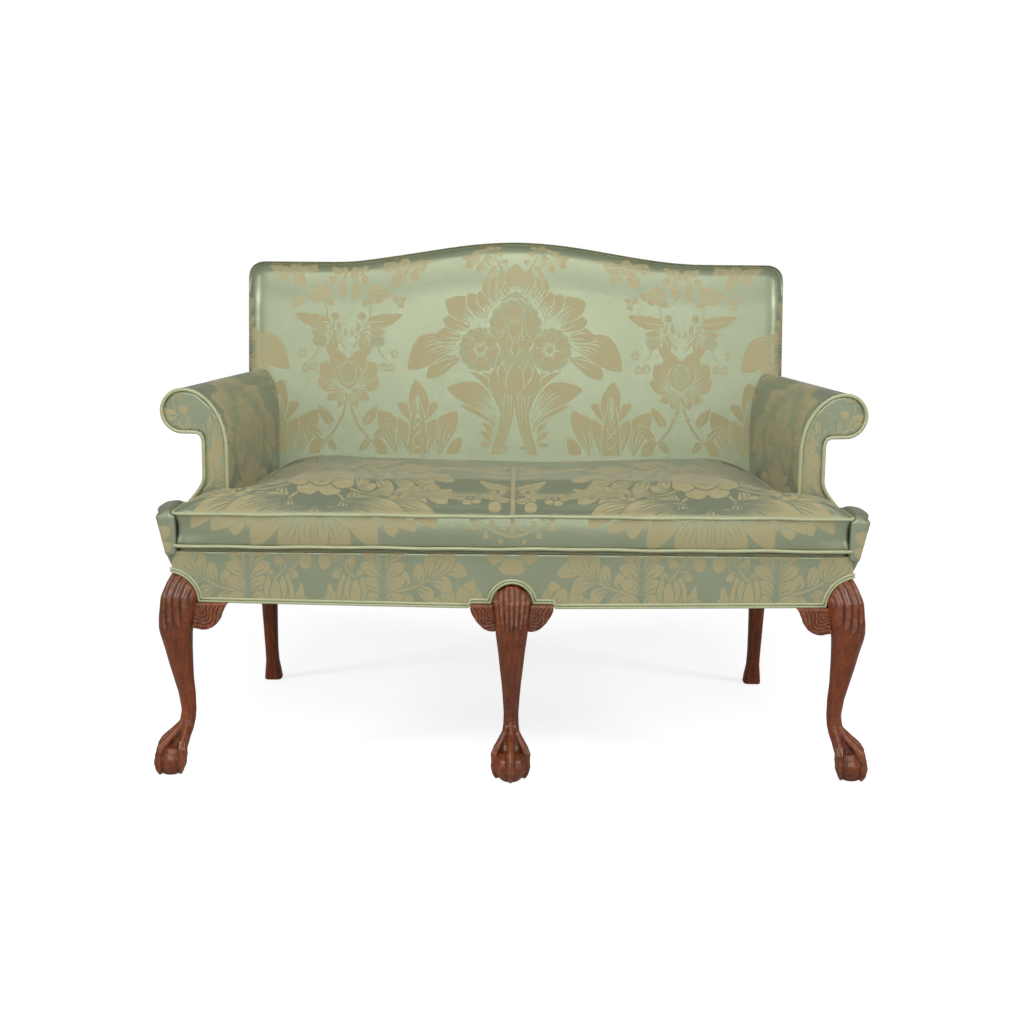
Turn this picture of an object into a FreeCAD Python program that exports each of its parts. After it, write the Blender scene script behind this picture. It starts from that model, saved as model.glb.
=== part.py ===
"""Camelback settee on cabriole legs, modelled in millimetres as its separate pieces.

X runs along the seat, +Y runs to the back and +Z is up. The origin is on the floor, under the middle of the
whole settee. Fore and aft places are measured from the front face of the rail cover, here called the face.
The right-hand pieces are modelled, and the left-hand ones are their mirror images.
"""

import FreeCAD, Part
import math
import os

V = FreeCAD.Vector

# Seat frame
SEAT_HALF_FRONT = 645.0
SEAT_HALF_REAR = 590.0
SEAT_LENGTH = 565.0
SIDE_LENGTH = 618.0
RAIL_BOTTOM = 334.0
RAIL_HEIGHT = 80.0
RAIL_THICK = 34.0
SIDE_RAIL_THICK = 28.0
COVER_THICK = 8.0
COVER_TOP = 432.0
POST_SIZE = 55.0
TENON_LENGTH = 22.0
TENON_THICK = 12.0
TENON_SHOULDER = 10.0
CROSS_RAIL_WIDTH = 40.0
CROSS_RAIL_DROP = 14.0
CROSS_RAIL_DISH = 18.0
BLOCK_LEG = 62.0
BLOCK_HEIGHT = 50.0
BLOCK_TOP_GAP = 14.0
BLOCK_REACH = 30.0
BLOCK_BACK = 36.0
BLOCK_REAR_BACK = 46.0
LEG_BLOCK_DROP = 14.0

# Lower edge of the rail cover and the arch over the centre leg
CORNER_ARC = 58.0
CORNER_ARC_OUT = 10.0
EDGE_SAG = 7.0
STEP_X = 84.0
STEP_RUN = 6.0
STEP_RISE = 9.0
ARCH_RADIUS = 38.5
ARCH_CLEARANCE = 0.5
WELT_HEIGHT = 9.0
WELT_THICK = 3.0

# Cabriole legs: height, outer edge beyond the cover, side of the section, share of the side that is rounded
KNEE_LEVELS = [
    (392.0, -2.0, 52.0, 0.14),
    (372.0, 9.0, 60.0, 0.18),
    (345.0, 20.0, 67.0, 0.24),
    (305.0, 25.0, 66.0, 0.30),
    (274.0, 25.0, 59.0, 0.34),
    (243.0, 18.0, 51.0, 0.37),
    (212.0, 12.0, 45.0, 0.40),
    (181.0, 5.0, 38.0, 0.43),
    (149.0, -2.0, 33.0, 0.45),
    (116.0, -6.0, 29.0, 0.46),
]
# Height, share of the reach to the foot, side of the section
ANKLE_LEVELS = [(98.0, 0.06, 30.0), (80.0, 0.26, 35.0), (64.0, 0.52, 40.0), (48.0, 0.74, 38.0)]
FOOT_REACH = 47.0
FOOT_BEARING = -52.0
CENTRE_LEG_FORWARD = 14.0
CENTRE_POST_HALF = 28.0
CENTRE_POST_DEPTH = 20.0
SHELL_LEVELS = [(371.0, 3.0, 18.0), (360.0, 12.0, 52.0), (345.0, 24.0, 71.0)]
BALL_RADIUS = 31.0
BALL_CENTRE = 27.0
BALL_FULLNESS = 0.86
# Toe: forward, sideways, height, thickness, in the frame of the ball, from the ankle down to the claw
FRONT_TOE = [(-36, 0, 96, 8), (-14, 0, 78, 8), (8, 0, 66, 8), (23, 0, 55, 9.5), (31, 0, 40, 7), (32, 0, 28, 8.5),
             (31, 0, 13, 5.5), (26, 0, 3.5, 3.4)]
SIDE_TOE = [(-38, 6, 92, 7.5), (-22, 16, 76, 7.5), (-8, 25, 62, 8.5), (-3, 30, 50, 9), (0, 31, 37, 6.8),
            (0, 31, 26, 8), (0, 30, 13, 5.2), (0, 26, 3.4, 3.3)]
REAR_TOE = [(-46, 0, 92, 8), (-42, 0, 72, 8), (-36, 0, 56, 9), (-32, 0, 42, 7), (-31, 0, 30, 8.5), (-30, 0, 14, 5.5),
            (-26, 0, 3.5, 3.4)]
# Ears beside the knees: distance in from the tip and drop below the rail
CORNER_EAR = [(0, 0), (14, 21), (23, 41), (38, 51), (50, 53), (63, 50), (80, 52)]
CENTRE_EAR = [(0, 0), (4, 16), (11, 29), (21, 41), (30, 48), (40, 51), (58, 50)]
CORNER_EAR_TIP = 107.0
CENTRE_EAR_TIP = 80.0
EAR_THICK = 30.0
EAR_PROUD = 10.0

# Rear legs: height, middle behind the face, width, depth, share of the width that is rounded
REAR_LEG_LEVELS = [(290.0, 597.0, 39.0, 43.5, 0.14), (230.0, 598.5, 36.5, 40.0, 0.22),
                   (170.0, 603.5, 33.5, 36.5, 0.27), (115.0, 611.5, 30.5, 33.0, 0.30),
                   (75.0, 619.5, 29.0, 31.0, 0.32), (45.0, 627.5, 30.0, 32.0, 0.32),
                   (20.0, 635.0, 36.5, 38.5, 0.32), (0.0, 639.0, 40.0, 42.0, 0.30)]
REAR_LEG_IN = 29.0
REAR_LEG_WIDTH = 40.0
REAR_LEG_FRONT = 22.0
REAR_LEG_RISE = 6.0
REAR_LEG_SET = 0.7
BLOCK_ROUND = 0.08

# Back, in its own plane, which leans by the rake about the deck line
RAKE = 6.8
DECK_LINE = 440.0
BACK_WIDER = 13.0
BACK_SHOULDER = 534.0
CAMEL_RISE = 46.5
CAMEL_HALF = 430.0
BACK_CORNER = 34.0
BACK_THICK = 75.0
PAD_FRONT = 34.0
PAD_BOTTOM = 1.0
# Depth of a level of the padding's edge and how far it is drawn in
PAD_EDGE = [(0.0, 26.0), (7.0, 11.0), (18.0, 3.0), (32.0, 0.0)]
FRAME_FRONT = 39.0
FRAME_BACK = 67.0
FRAME_IN = 22.0
FRAME_SET_IN = 4.0
PANEL_SET_IN = 1.5
PANEL_FOOT_IN = 2.0
CREST_COVER = 14.0
CREST_BOTTOM = 460.0
TACK_RAIL_LOW = 12.0
TACK_RAIL_HEIGHT = 40.0
MUNTIN_HALF = 20.0
STUB_TENON = 24.0
STUB_IN = 8.0
BACK_STRAP_Z = (180.0, 320.0)
BACK_STRAP_X = (-390.0, -180.0, 180.0, 390.0)

# Arms, right-hand side: the front section and the rear one. The neck and the roll are set in from the side of
# the seat, and the wall is the neck's thickness
ARM_FRONT_Y = 120.0
ARM_REAR_Y = 610.0
ARM_SHOULDER = 610.0
ARM_FRONT = {"y": ARM_FRONT_Y, "neck_in": 46.5, "wall": 50.0, "roll_in": 11.5, "roll_z": 686.0, "roll_r": 44.0}
ARM_REAR = {"y": ARM_REAR_Y, "neck_in": 23.5, "wall": 58.0, "roll_in": 45.5, "roll_z": 689.0, "roll_r": 40.0}
ARM_PAD_THICK = 28.0
ARM_BOTTOM = 438.0
FLARE_BOTTOM = 470.0
FLARE_LOW_RISE = 42.0
FLARE_HIGH_RISE = 48.0
FLARE_MIDDLE = FLARE_BOTTOM + FLARE_LOW_RISE
FLARE_TOP = FLARE_MIDDLE + FLARE_HIGH_RISE
NECK_LEDGE = 10.0
NECK_STEP = 3.0
NECK_FILLET = 18.0
FACING_THICK = 7.0
FACING_LIFT = 3.0
FOOT_CLEARANCE = 0.5
PIPING = 5.0
PIPING_PROUD = 1.5
ARM_POST_THICK = 28.0
ARM_POST_INSET = 10.0
ARM_TUCK = 20.0
ARM_RAIL_WIDTH = 34.0
ARM_RAIL_HEIGHT = 24.0
ARM_TACK_WIDTH = 20.0
ARM_TACK_HEIGHT = 26.0
ARM_TACK_Z = 470.0
ARM_BAR_IN = 4.0

# Side cover and the padded ledge in front of the arm
SIDE_BULGE = [(0.0, 400.5), (12.0, 431.0), (17.0, 470.0)]
LEDGE_TOP = 515.0
LEDGE_PROUD = 32.0
LEDGE_FRONT = -5.0
LEDGE_NOSE = 42.0
LEDGE_NOSE_SWELL = (7.0, 12.0)
LEDGE_HEEL = 38.0
LEDGE_HEEL_SWELL = (9.0, 15.0)
LEDGE_HEEL_END = 34.0
LEDGE_REAR_IN = 18.0
LEDGE_LEAN = 14.0
LEDGE_ROUND = 7.0

# Seat platform
WEB_THICK = 2.0
WEB_WIDTH = 50.0
HESSIAN_THICK = 1.0
DECK_TOP = 437.5
CLOTH_THICK = 1.0
STRAP_INSET = 10.0
SEAT_STRAP_START = 80.0
SEAT_STRAP_PITCH = 95.0
SEAT_STRAP_COUNT = 5
SEAT_STRAP_SPACING = 115.0
SEAT_STRAP_SIDES = 4
HESSIAN_IN = 14.0
HESSIAN_FRONT = 6.0
HESSIAN_REAR = 10.0
DECK_EAR_IN = 4.0
DECK_TUCK = 12.0
DECK_REAR_GAP = 2.0
CLOTH_TUCK = 6.0

# Loose cushion
CUSHION_FRONT = -10.0
CUSHION_EAR_IN = 6.0
CUSHION_EAR_DEPTH = 100.0
ARM_CLEARANCE = 3.0
BACK_CLEARANCE = 3.0
CUSHION_BOTTOM = 438.0
CUSHION_WELT_LOW = 444.0
CUSHION_WELT_HIGH = 506.0
CUSHION_TOP = 545.0
CASE_THICK = 6.0
CUSHION_WELT = 5.0
SOFT_GAP = 0.3
INSERT_SETTLED = 2.0

# Least lift that counts as a twist in a side
FLATNESS = 1e-6
# Facets to a rounded corner, a claw, the ball, and the shoulder, roll and flare of an arm
CORNER_FACETS = 3
TOE_FACETS = 7
BALL_FACETS = 16
BALL_RINGS = 7
SHOULDER_FACETS = 7
ROLL_FACETS = 10
FLARE_FACETS = 3
LEDGE_FACETS = 5
EAR_FACETS = 11

RAIL_TOP = RAIL_BOTTOM + RAIL_HEIGHT
FRONT_POST_X = SEAT_HALF_FRONT - COVER_THICK - POST_SIZE
REAR_LEG_X = SEAT_HALF_REAR - REAR_LEG_IN
BACK_HALF = SEAT_HALF_REAR + BACK_WIDER
FRAME_HALF = BACK_HALF - FRAME_IN
CUSHION_EAR = SEAT_HALF_FRONT - CUSHION_EAR_IN
LEDGE_OUTER = SEAT_HALF_FRONT + LEDGE_PROUD
LEDGE_INNER = SEAT_HALF_FRONT
LEDGE_REAR_X = SEAT_HALF_FRONT - LEDGE_REAR_IN
# Reach of a cutting block, well beyond the settee
BEYOND = 2 * SEAT_HALF_FRONT
SIDE_ANGLE = math.degrees(math.asin((SEAT_HALF_FRONT - SEAT_HALF_REAR) / SIDE_LENGTH))
SIN_SIDE = math.sin(math.radians(SIDE_ANGLE))
COS_SIDE = math.cos(math.radians(SIDE_ANGLE))
SIN_RAKE = math.sin(math.radians(RAKE))
COS_RAKE = math.cos(math.radians(RAKE))
ANKLE_OUT = KNEE_LEVELS[-1][1]
ANKLE_SIDE = KNEE_LEVELS[-1][2]
CENTRE_FOOT_Y = ANKLE_SIDE / 2 - ANKLE_OUT - CENTRE_LEG_FORWARD - FOOT_REACH
TOE_FRONT = CENTRE_FOOT_Y - max(forward + thick for forward, side, height, thick in FRONT_TOE)
BACK_REAR = SEAT_LENGTH + BACK_THICK * COS_RAKE + (BACK_SHOULDER + CAMEL_RISE) * SIN_RAKE
FACE_Y = -(TOE_FRONT + BACK_REAR) / 2


def p(x, y, z):
    """A point given by its distance y behind the face of the rail cover."""
    return V(x, FACE_Y + y, z)


def line(a, b):
    return Part.LineSegment(a, b).toShape()


def arc(a, b, c):
    return Part.Arc(a, b, c).toShape()


def closed(points):
    return Part.makePolygon(points + [points[0]])


def box(x0, x1, y0, y1, z0, z1):
    return Part.makeBox(x1 - x0, y1 - y0, z1 - z0, p(x0, y0, z0))


def plate(wire, direction):
    return Part.Face(wire).extrude(direction)


def skin(rings):
    """Solid through rings of points, in flat sides, with a pair of triangles where four corners aren't level."""
    faces = [Part.Face(closed(rings[0])), Part.Face(closed(rings[-1]))]
    for lower, upper in zip(rings, rings[1:]):
        for i in range(len(lower)):
            a, b, c, d = lower[i - 1], lower[i], upper[i], upper[i - 1]
            normal = (c - a).cross(d - b).normalize()
            if abs((b - a).dot(normal)) < FLATNESS:
                faces.append(Part.Face(closed([a, b, c, d])))
            else:
                faces += [Part.Face(closed([a, b, c])), Part.Face(closed([a, c, d]))]
    solid = Part.Solid(Part.Shell(faces))
    if solid.Volume < 0:
        solid.reverse()
    return solid


def mirrored(shape):
    return shape.mirror(V(0, 0, 0), V(1, 0, 0))


def fused(shapes):
    result = shapes[0].fuse(shapes[1:]) if len(shapes) > 1 else shapes[0]
    return result.removeSplitter()


def export(name, shapes):
    solids = [solid for shape in shapes for solid in shape.Solids]
    shape = solids[0] if len(solids) == 1 else Part.makeCompound(solids)
    shape.exportStep("parts/%s.step" % name)


def export_pair(name, shapes):
    export("right_" + name, shapes)
    export("left_" + name, [mirrored(shape) for shape in shapes])


def lean(shape):
    """Put a piece of the back, built upright from the deck line, at its rake."""
    moved = shape.copy()
    moved.rotate(V(0, 0, 0), V(1, 0, 0), -RAKE)
    moved.translate(p(0, SEAT_LENGTH, DECK_LINE))
    return moved


def back_box(x0, x1, y0, y1, z0, z1):
    return lean(Part.makeBox(x1 - x0, y1 - y0, z1 - z0, V(x0, y0, z0)))


def to_side(shape):
    """Put a piece built along the side, x outwards from the cover and y back from the corner, in its place."""
    moved = shape.copy()
    moved.rotate(V(0, 0, 0), V(0, 0, 1), SIDE_ANGLE)
    moved.translate(p(SEAT_HALF_FRONT, 0, 0))
    return moved


def side_x(out, y):
    """X of a line that runs along the side, out from the cover, at y behind the face."""
    return SEAT_HALF_FRONT + (out - y * SIN_SIDE) / COS_SIDE


def rounded_rectangle(x, y, z, width, depth, share):
    """A level rounded rectangle, its corner radius a share of its shorter side, each corner cut in facets."""
    r = share * min(width, depth)
    points = []
    for corner, (sx, sy) in enumerate([(1, -1), (1, 1), (-1, 1), (-1, -1)]):
        for step in range(CORNER_FACETS + 1):
            angle = math.pi / 2 * (corner - 1 + step / CORNER_FACETS)
            points.append(p(x + sx * (width / 2 - r) + r * math.cos(angle),
                            y + sy * (depth / 2 - r) + r * math.sin(angle), z))
    return points


def faceted(edges, counts):
    """Points along a chain of edges, each edge cut in its own number of straight facets."""
    points = []
    for edge, count in zip(edges, counts):
        points += edge.discretize(count + 1)[:-1]
    return points + [edges[-1].discretize(2)[-1]]


def cover_edge(lift):
    """Lower edge of the front cover from right to left, raised by lift, as edges in the plane of the face."""
    centre = SEAT_HALF_FRONT + CORNER_ARC_OUT
    r = CORNER_ARC + lift
    top = V(SEAT_HALF_FRONT, 0, RAIL_BOTTOM + math.sqrt(r ** 2 - CORNER_ARC_OUT ** 2))
    foot = V(centre - math.sqrt(r ** 2 - lift ** 2), 0, RAIL_BOTTOM + lift)
    turn = math.radians(140)
    waist = V(centre + r * math.cos(turn), 0, RAIL_BOTTOM + r * math.sin(turn))
    low = RAIL_BOTTOM - EDGE_SAG + lift
    step = low + STEP_RISE
    arch = ARCH_RADIUS + lift
    arch_x = math.sqrt(arch ** 2 - lift ** 2)
    right = [arc(top, waist, foot),
             line(foot, V(STEP_X, 0, low)),
             line(V(STEP_X, 0, low), V(STEP_X - STEP_RUN, 0, step)),
             line(V(STEP_X - STEP_RUN, 0, step), V(arch_x, 0, step))]
    crown = arc(V(arch_x, 0, step), V(0, 0, step - lift + arch), V(-arch_x, 0, step))
    return right, crown


def band(low_lift, high_z=None, high_lift=None):
    """Closed outline between the lower edge and either a level top or the same edge raised."""
    edges = []
    for lift in [low_lift] + ([high_lift] if high_lift is not None else []):
        right, crown = cover_edge(lift)
        edges += right + [crown] + [mirrored(edge) for edge in right]
    half = SEAT_HALF_FRONT
    tops = [RAIL_BOTTOM + math.sqrt((CORNER_ARC + lift) ** 2 - CORNER_ARC_OUT ** 2)
            for lift in (low_lift, high_lift or 0)]
    if high_lift is None:
        edges += [line(V(-half, 0, tops[0]), V(-half, 0, high_z)),
                  line(V(-half, 0, high_z), V(half, 0, high_z)),
                  line(V(half, 0, high_z), V(half, 0, tops[0]))]
    else:
        edges += [line(V(side * half, 0, tops[0]), V(side * half, 0, tops[1])) for side in (1, -1)]
    return Part.Wire(Part.__sortEdges__(edges))


def face_plate(wire, y0, y1):
    shape = plate(wire, V(0, y1 - y0, 0))
    shape.translate(p(0, y0, 0))
    return shape


def side_edge(lift, out):
    """Lower edge of the side cover, from the front corner to the rear."""
    r = CORNER_ARC + lift
    top = V(out, 0, RAIL_BOTTOM + math.sqrt(r ** 2 - CORNER_ARC_OUT ** 2))
    foot = V(out, math.sqrt(r ** 2 - lift ** 2) - CORNER_ARC_OUT, RAIL_BOTTOM + lift)
    turn = math.radians(40)
    waist = V(out, r * math.cos(turn) - CORNER_ARC_OUT, RAIL_BOTTOM + r * math.sin(turn))
    rear = V(out, SIDE_LENGTH, RAIL_BOTTOM + lift)
    return top, foot, rear, [arc(top, waist, foot), line(foot, rear)]


def side_shadow(out0, out1):
    """What the side cover hides, seen square to the side, between two distances from its face."""
    top, foot, rear, edges = side_edge(0.0, out0)
    high_rear = V(out0, SIDE_LENGTH, COVER_TOP)
    high_front = V(out0, 0, COVER_TOP)
    edges += [line(rear, high_rear), line(high_rear, high_front), line(high_front, top)]
    return to_side(plate(Part.Wire(edges), V(out1 - out0, 0, 0)))


def front_cover():
    return face_plate(band(0.0, high_z=COVER_TOP), 0, COVER_THICK)


def front_welt():
    return face_plate(band(0.0, high_lift=WELT_HEIGHT), -WELT_THICK, 0)


def side_cover():
    """Cover over the side rail, swelling outwards above the rail."""
    outer = [V(out, 0, z) for out, z in SIDE_BULGE]
    low = V(0, 0, RAIL_BOTTOM)
    inner = [V(outer[2].x - COVER_THICK, 0, outer[2].z), V(outer[1].x - COVER_THICK, 0, outer[1].z),
             V(-COVER_THICK, 0, RAIL_TOP), V(-COVER_THICK, 0, RAIL_BOTTOM)]
    edges = [line(low, outer[0]), arc(*outer), line(outer[2], inner[0])]
    edges += [line(a, b) for a, b in zip(inner, inner[1:] + [low])]
    body = to_side(plate(Part.Wire(edges), V(0, SIDE_LENGTH, 0)))
    corner = CORNER_ARC * 2
    notch = Part.makeCylinder(CORNER_ARC, corner, V(-corner / 2, -CORNER_ARC_OUT, RAIL_BOTTOM), V(1, 0, 0))
    front = box(SEAT_HALF_FRONT - POST_SIZE, SEAT_HALF_FRONT, -COVER_THICK, COVER_THICK, 0, LEDGE_TOP)
    return body.cut([to_side(notch), front])


def side_welt():
    edges = []
    tops = []
    rears = []
    for lift in (0.0, WELT_HEIGHT):
        top, foot, rear, part = side_edge(lift, 0.0)
        edges += part
        tops.append(top)
        rears.append(rear)
    edges += [line(*tops), line(*rears)]
    return to_side(plate(Part.Wire(Part.__sortEdges__(edges)), V(WELT_THICK, 0, 0)))


def toe(points, place, across):
    """A claw: rings that swell at each knuckle, lofted from the ankle to the nail."""
    centres = [place(forward, side, z) for forward, side, z, thick in points]
    rings = []
    for i, (forward, side, z, thick) in enumerate(points):
        run = centres[min(i + 1, len(points) - 1)] - centres[max(i - 1, 0)]
        run.normalize()
        u = across - run * across.dot(run)
        u.normalize()
        v = run.cross(u)
        turns = [2 * math.pi * step / TOE_FACETS for step in range(TOE_FACETS)]
        rings.append([centres[i] + (u * math.cos(turn) + v * math.sin(turn)) * thick for turn in turns])
    return skin(rings)


def claw_foot(x, y, bearing):
    """Flattened ball held by four claws."""
    forward_axis = V(math.cos(math.radians(bearing)), math.sin(math.radians(bearing)), 0)
    side_axis = V(-forward_axis.y, forward_axis.x, 0)

    def place(forward, side, z):
        return p(x, y, z) + forward_axis * forward + side_axis * side

    ball = []
    for ring in range(BALL_RINGS + 1):
        tilt = math.pi * (ring / BALL_RINGS - 0.5) * BALL_FULLNESS
        radius = BALL_RADIUS * math.cos(tilt)
        turns = [2 * math.pi * step / BALL_FACETS for step in range(BALL_FACETS)]
        ball.append([p(x + radius * math.cos(turn), y + radius * math.sin(turn),
                       BALL_CENTRE + BALL_RADIUS * math.sin(tilt)) for turn in turns])
    ball = skin(ball)
    other_side = [(forward, -side, z, thick) for forward, side, z, thick in SIDE_TOE]
    return [ball, toe(FRONT_TOE, place, side_axis), toe(REAR_TOE, place, side_axis),
            toe(SIDE_TOE, place, forward_axis), toe(other_side, place, forward_axis)]


def trimmed_to_floor(shape):
    below = box(-BEYOND, BEYOND, -BEYOND, BEYOND, -BEYOND, 0)
    return shape.cut(below)


def leg_shaft(sections, foot_x, foot_y):
    """Smooth shaft through the knee sections and on into the top of the ball."""
    last_x, last_y = sections[-1][0], sections[-1][1]
    share = KNEE_LEVELS[-1][3]
    ankle = []
    for z, reach, side in ANKLE_LEVELS:
        ankle.append((last_x + (foot_x - last_x) * reach, last_y + (foot_y - last_y) * reach, z, side, side, share))
    return skin([rounded_rectangle(*row) for row in sections + ankle])


def corner_leg():
    """Right front leg: square block in the frame corner, cabriole knee set on the diagonal."""
    sections = []
    for z, out, side, share in KNEE_LEVELS:
        sections.append((SEAT_HALF_FRONT + out - side / 2, side / 2 - out, z, side, side, share))
    turn = math.radians(FOOT_BEARING)
    foot_x = sections[-1][0] + FOOT_REACH * math.cos(turn)
    foot_y = sections[-1][1] + FOOT_REACH * math.sin(turn)
    shaft = leg_shaft(sections, foot_x, foot_y)
    outer = SEAT_HALF_FRONT - COVER_THICK
    block = box(FRONT_POST_X, outer, COVER_THICK, COVER_THICK + POST_SIZE, RAIL_BOTTOM - LEG_BLOCK_DROP, RAIL_TOP)
    leg = trimmed_to_floor(fused([block, shaft] + claw_foot(foot_x, foot_y, FOOT_BEARING)))
    front_shadow = face_plate(band(0.0, high_z=COVER_TOP), -POST_SIZE, COVER_THICK)
    return leg.cut([front_shadow, side_shadow(-COVER_THICK, POST_SIZE)])


def centre_leg():
    """Middle front leg: shell-topped knee in the arch of the cover, its stub housed in the rail."""
    sections = []
    for z, out, width in SHELL_LEVELS:
        depth = out + CENTRE_LEG_FORWARD / 2 + COVER_THICK
        sections.append((0, COVER_THICK - depth / 2, z, width, depth, 0.3))
    for z, out, side, share in KNEE_LEVELS:
        if z < SHELL_LEVELS[-1][0]:
            sections.append((0, side / 2 - out - CENTRE_LEG_FORWARD, z, side, side, share))
    shaft = leg_shaft(sections, 0, CENTRE_FOOT_Y)
    rail_space = box(-STEP_X, STEP_X, COVER_THICK, COVER_THICK + RAIL_THICK, centre_notch_z(), RAIL_TOP)
    front_shadow = face_plate(band(-ARCH_CLEARANCE, high_z=COVER_TOP), 0, COVER_THICK)
    shaft = shaft.cut([rail_space, front_shadow])
    stub = box(-CENTRE_POST_HALF, CENTRE_POST_HALF, COVER_THICK, COVER_THICK + CENTRE_POST_DEPTH,
               centre_notch_z() - 20, RAIL_TOP)
    return trimmed_to_floor(fused([stub, shaft] + claw_foot(0, CENTRE_FOOT_Y, -90.0)))


def centre_notch_z():
    """Height of the rail's underside beside the centre leg."""
    return RAIL_BOTTOM - EDGE_SAG + STEP_RISE


def front_rail():
    """Rail with a sagging lower edge, a step at the centre leg and a tenon at each end."""
    step = centre_notch_z()
    points = [(FRONT_POST_X, RAIL_TOP), (FRONT_POST_X, RAIL_BOTTOM), (STEP_X, RAIL_BOTTOM - EDGE_SAG),
              (STEP_X - STEP_RUN, step)]
    outline = [V(x, 0, z) for x, z in points] + [V(-x, 0, z) for x, z in reversed(points)]
    rail = face_plate(closed(outline), COVER_THICK, COVER_THICK + RAIL_THICK)
    housing = box(-CENTRE_POST_HALF, CENTRE_POST_HALF, COVER_THICK, COVER_THICK + CENTRE_POST_DEPTH,
                  RAIL_BOTTOM - POST_SIZE, RAIL_TOP)
    return rail.cut(housing).fuse(front_tenon(1)).fuse(front_tenon(-1)).removeSplitter()


def front_tenon(side):
    y = COVER_THICK + RAIL_THICK / 2
    x0, x1 = sorted([side * FRONT_POST_X, side * (FRONT_POST_X + TENON_LENGTH)])
    return box(x0, x1, y - TENON_THICK / 2, y + TENON_THICK / 2, RAIL_BOTTOM + TENON_SHOULDER,
               RAIL_TOP - TENON_SHOULDER)


def side_rail():
    """Rail from the block of the front leg to the rear leg, along the slant of the side."""
    start = (COVER_THICK + POST_SIZE) / COS_SIDE + SIDE_RAIL_THICK * SIN_SIDE
    inner = -COVER_THICK - SIDE_RAIL_THICK
    long_box = Part.makeBox(SIDE_RAIL_THICK, SIDE_LENGTH, RAIL_HEIGHT, V(inner, 0, RAIL_BOTTOM))
    rail = to_side(long_box)
    front = box(0, BEYOND, -BEYOND, COVER_THICK + POST_SIZE, 0, BEYOND)
    rear = rear_leg_space()
    middle = inner + SIDE_RAIL_THICK / 2
    tenon = to_side(Part.makeBox(TENON_THICK, TENON_LENGTH + 4, RAIL_HEIGHT - 2 * TENON_SHOULDER,
                                 V(middle - TENON_THICK / 2, start - TENON_LENGTH, RAIL_BOTTOM + TENON_SHOULDER)))
    return rail.cut([front, rear]).fuse(tenon).removeSplitter()


def rear_leg_space():
    """Everything behind the front plane of the rear leg block."""
    return back_box(0, BEYOND, REAR_LEG_FRONT, BEYOND, -BEYOND, BEYOND)


def back_seat_rail():
    inner = REAR_LEG_X - REAR_LEG_WIDTH / 2
    low = (RAIL_BOTTOM - DECK_LINE) / COS_RAKE
    high = (RAIL_TOP - DECK_LINE) / COS_RAKE
    rail = back_box(-inner, inner, FRAME_FRONT, FRAME_BACK, low, high)
    middle = (FRAME_FRONT + FRAME_BACK) / 2
    ends = []
    for side in (1, -1):
        x0, x1 = sorted([side * (inner - 1), side * (inner + TENON_LENGTH)])
        ends.append(back_box(x0, x1, middle - TENON_THICK, middle, low + TENON_SHOULDER, high - TENON_SHOULDER))
    under = box(-SEAT_HALF_REAR, SEAT_HALF_REAR, 0, 2 * SEAT_LENGTH, 0, RAIL_BOTTOM)
    return fused([rail] + ends).cut(under)


def cross_rail(front, back):
    y0 = COVER_THICK + RAIL_THICK
    blank = box(-CROSS_RAIL_WIDTH / 2, CROSS_RAIL_WIDTH / 2, y0, SEAT_LENGTH + FRAME_BACK,
                RAIL_BOTTOM + CROSS_RAIL_DROP, RAIL_TOP - CROSS_RAIL_DROP)
    rear = back_box(-BEYOND, BEYOND, FRAME_FRONT, BEYOND, -BEYOND, BEYOND)
    middle = (y0 + SEAT_LENGTH) / 2
    reach = (SEAT_LENGTH - y0) / 2
    radius = (reach ** 2 + CROSS_RAIL_DISH ** 2) / (2 * CROSS_RAIL_DISH)
    hollow = Part.makeCylinder(radius, CROSS_RAIL_WIDTH * 2, p(-CROSS_RAIL_WIDTH, middle,
                               RAIL_TOP - CROSS_RAIL_DROP + radius - CROSS_RAIL_DISH), V(1, 0, 0))
    return blank.cut([rear, hollow, front, back])


def rear_leg_and_upright():
    """Raked leg with the back upright scarfed on to its block."""
    x0, x1 = REAR_LEG_X - REAR_LEG_WIDTH / 2, REAR_LEG_X + REAR_LEG_WIDTH / 2
    low = (RAIL_BOTTOM - DECK_LINE) / COS_RAKE
    high = (RAIL_TOP - DECK_LINE) / COS_RAKE
    half = (FRAME_FRONT + FRAME_BACK) / 2
    block = back_box(x0, x1, REAR_LEG_FRONT, FRAME_BACK, low, high)
    tongue = back_box(x0, x1, half, FRAME_BACK, low + TENON_SHOULDER, high)
    post = back_box(x0, x1, FRAME_FRONT, FRAME_BACK, high, CREST_BOTTOM)
    stub = back_box(x0 + STUB_IN, x1 - STUB_IN, half - TENON_THICK / 2, half + TENON_THICK / 2,
                    CREST_BOTTOM - 1, CREST_BOTTOM + STUB_TENON)
    top_front = SEAT_LENGTH + REAR_LEG_FRONT * COS_RAKE + low * SIN_RAKE
    top_back = SEAT_LENGTH + FRAME_BACK * COS_RAKE + low * SIN_RAKE
    top_depth = top_back - top_front
    top_y = (top_front + top_back) / 2 + REAR_LEG_SET
    levels = [(RAIL_BOTTOM + REAR_LEG_RISE, top_y, REAR_LEG_WIDTH, top_depth, BLOCK_ROUND)]
    levels += REAR_LEG_LEVELS
    shaft = skin([rounded_rectangle(REAR_LEG_X, y, z, width, depth, share) for z, y, width, depth, share in levels])
    leg = fused([block, shaft]).cut([tongue, side_shadow(-COVER_THICK, POST_SIZE)])
    upright = fused([post, tongue, stub]).cut(side_shadow(-COVER_THICK, POST_SIZE))
    return leg, upright, stub


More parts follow.
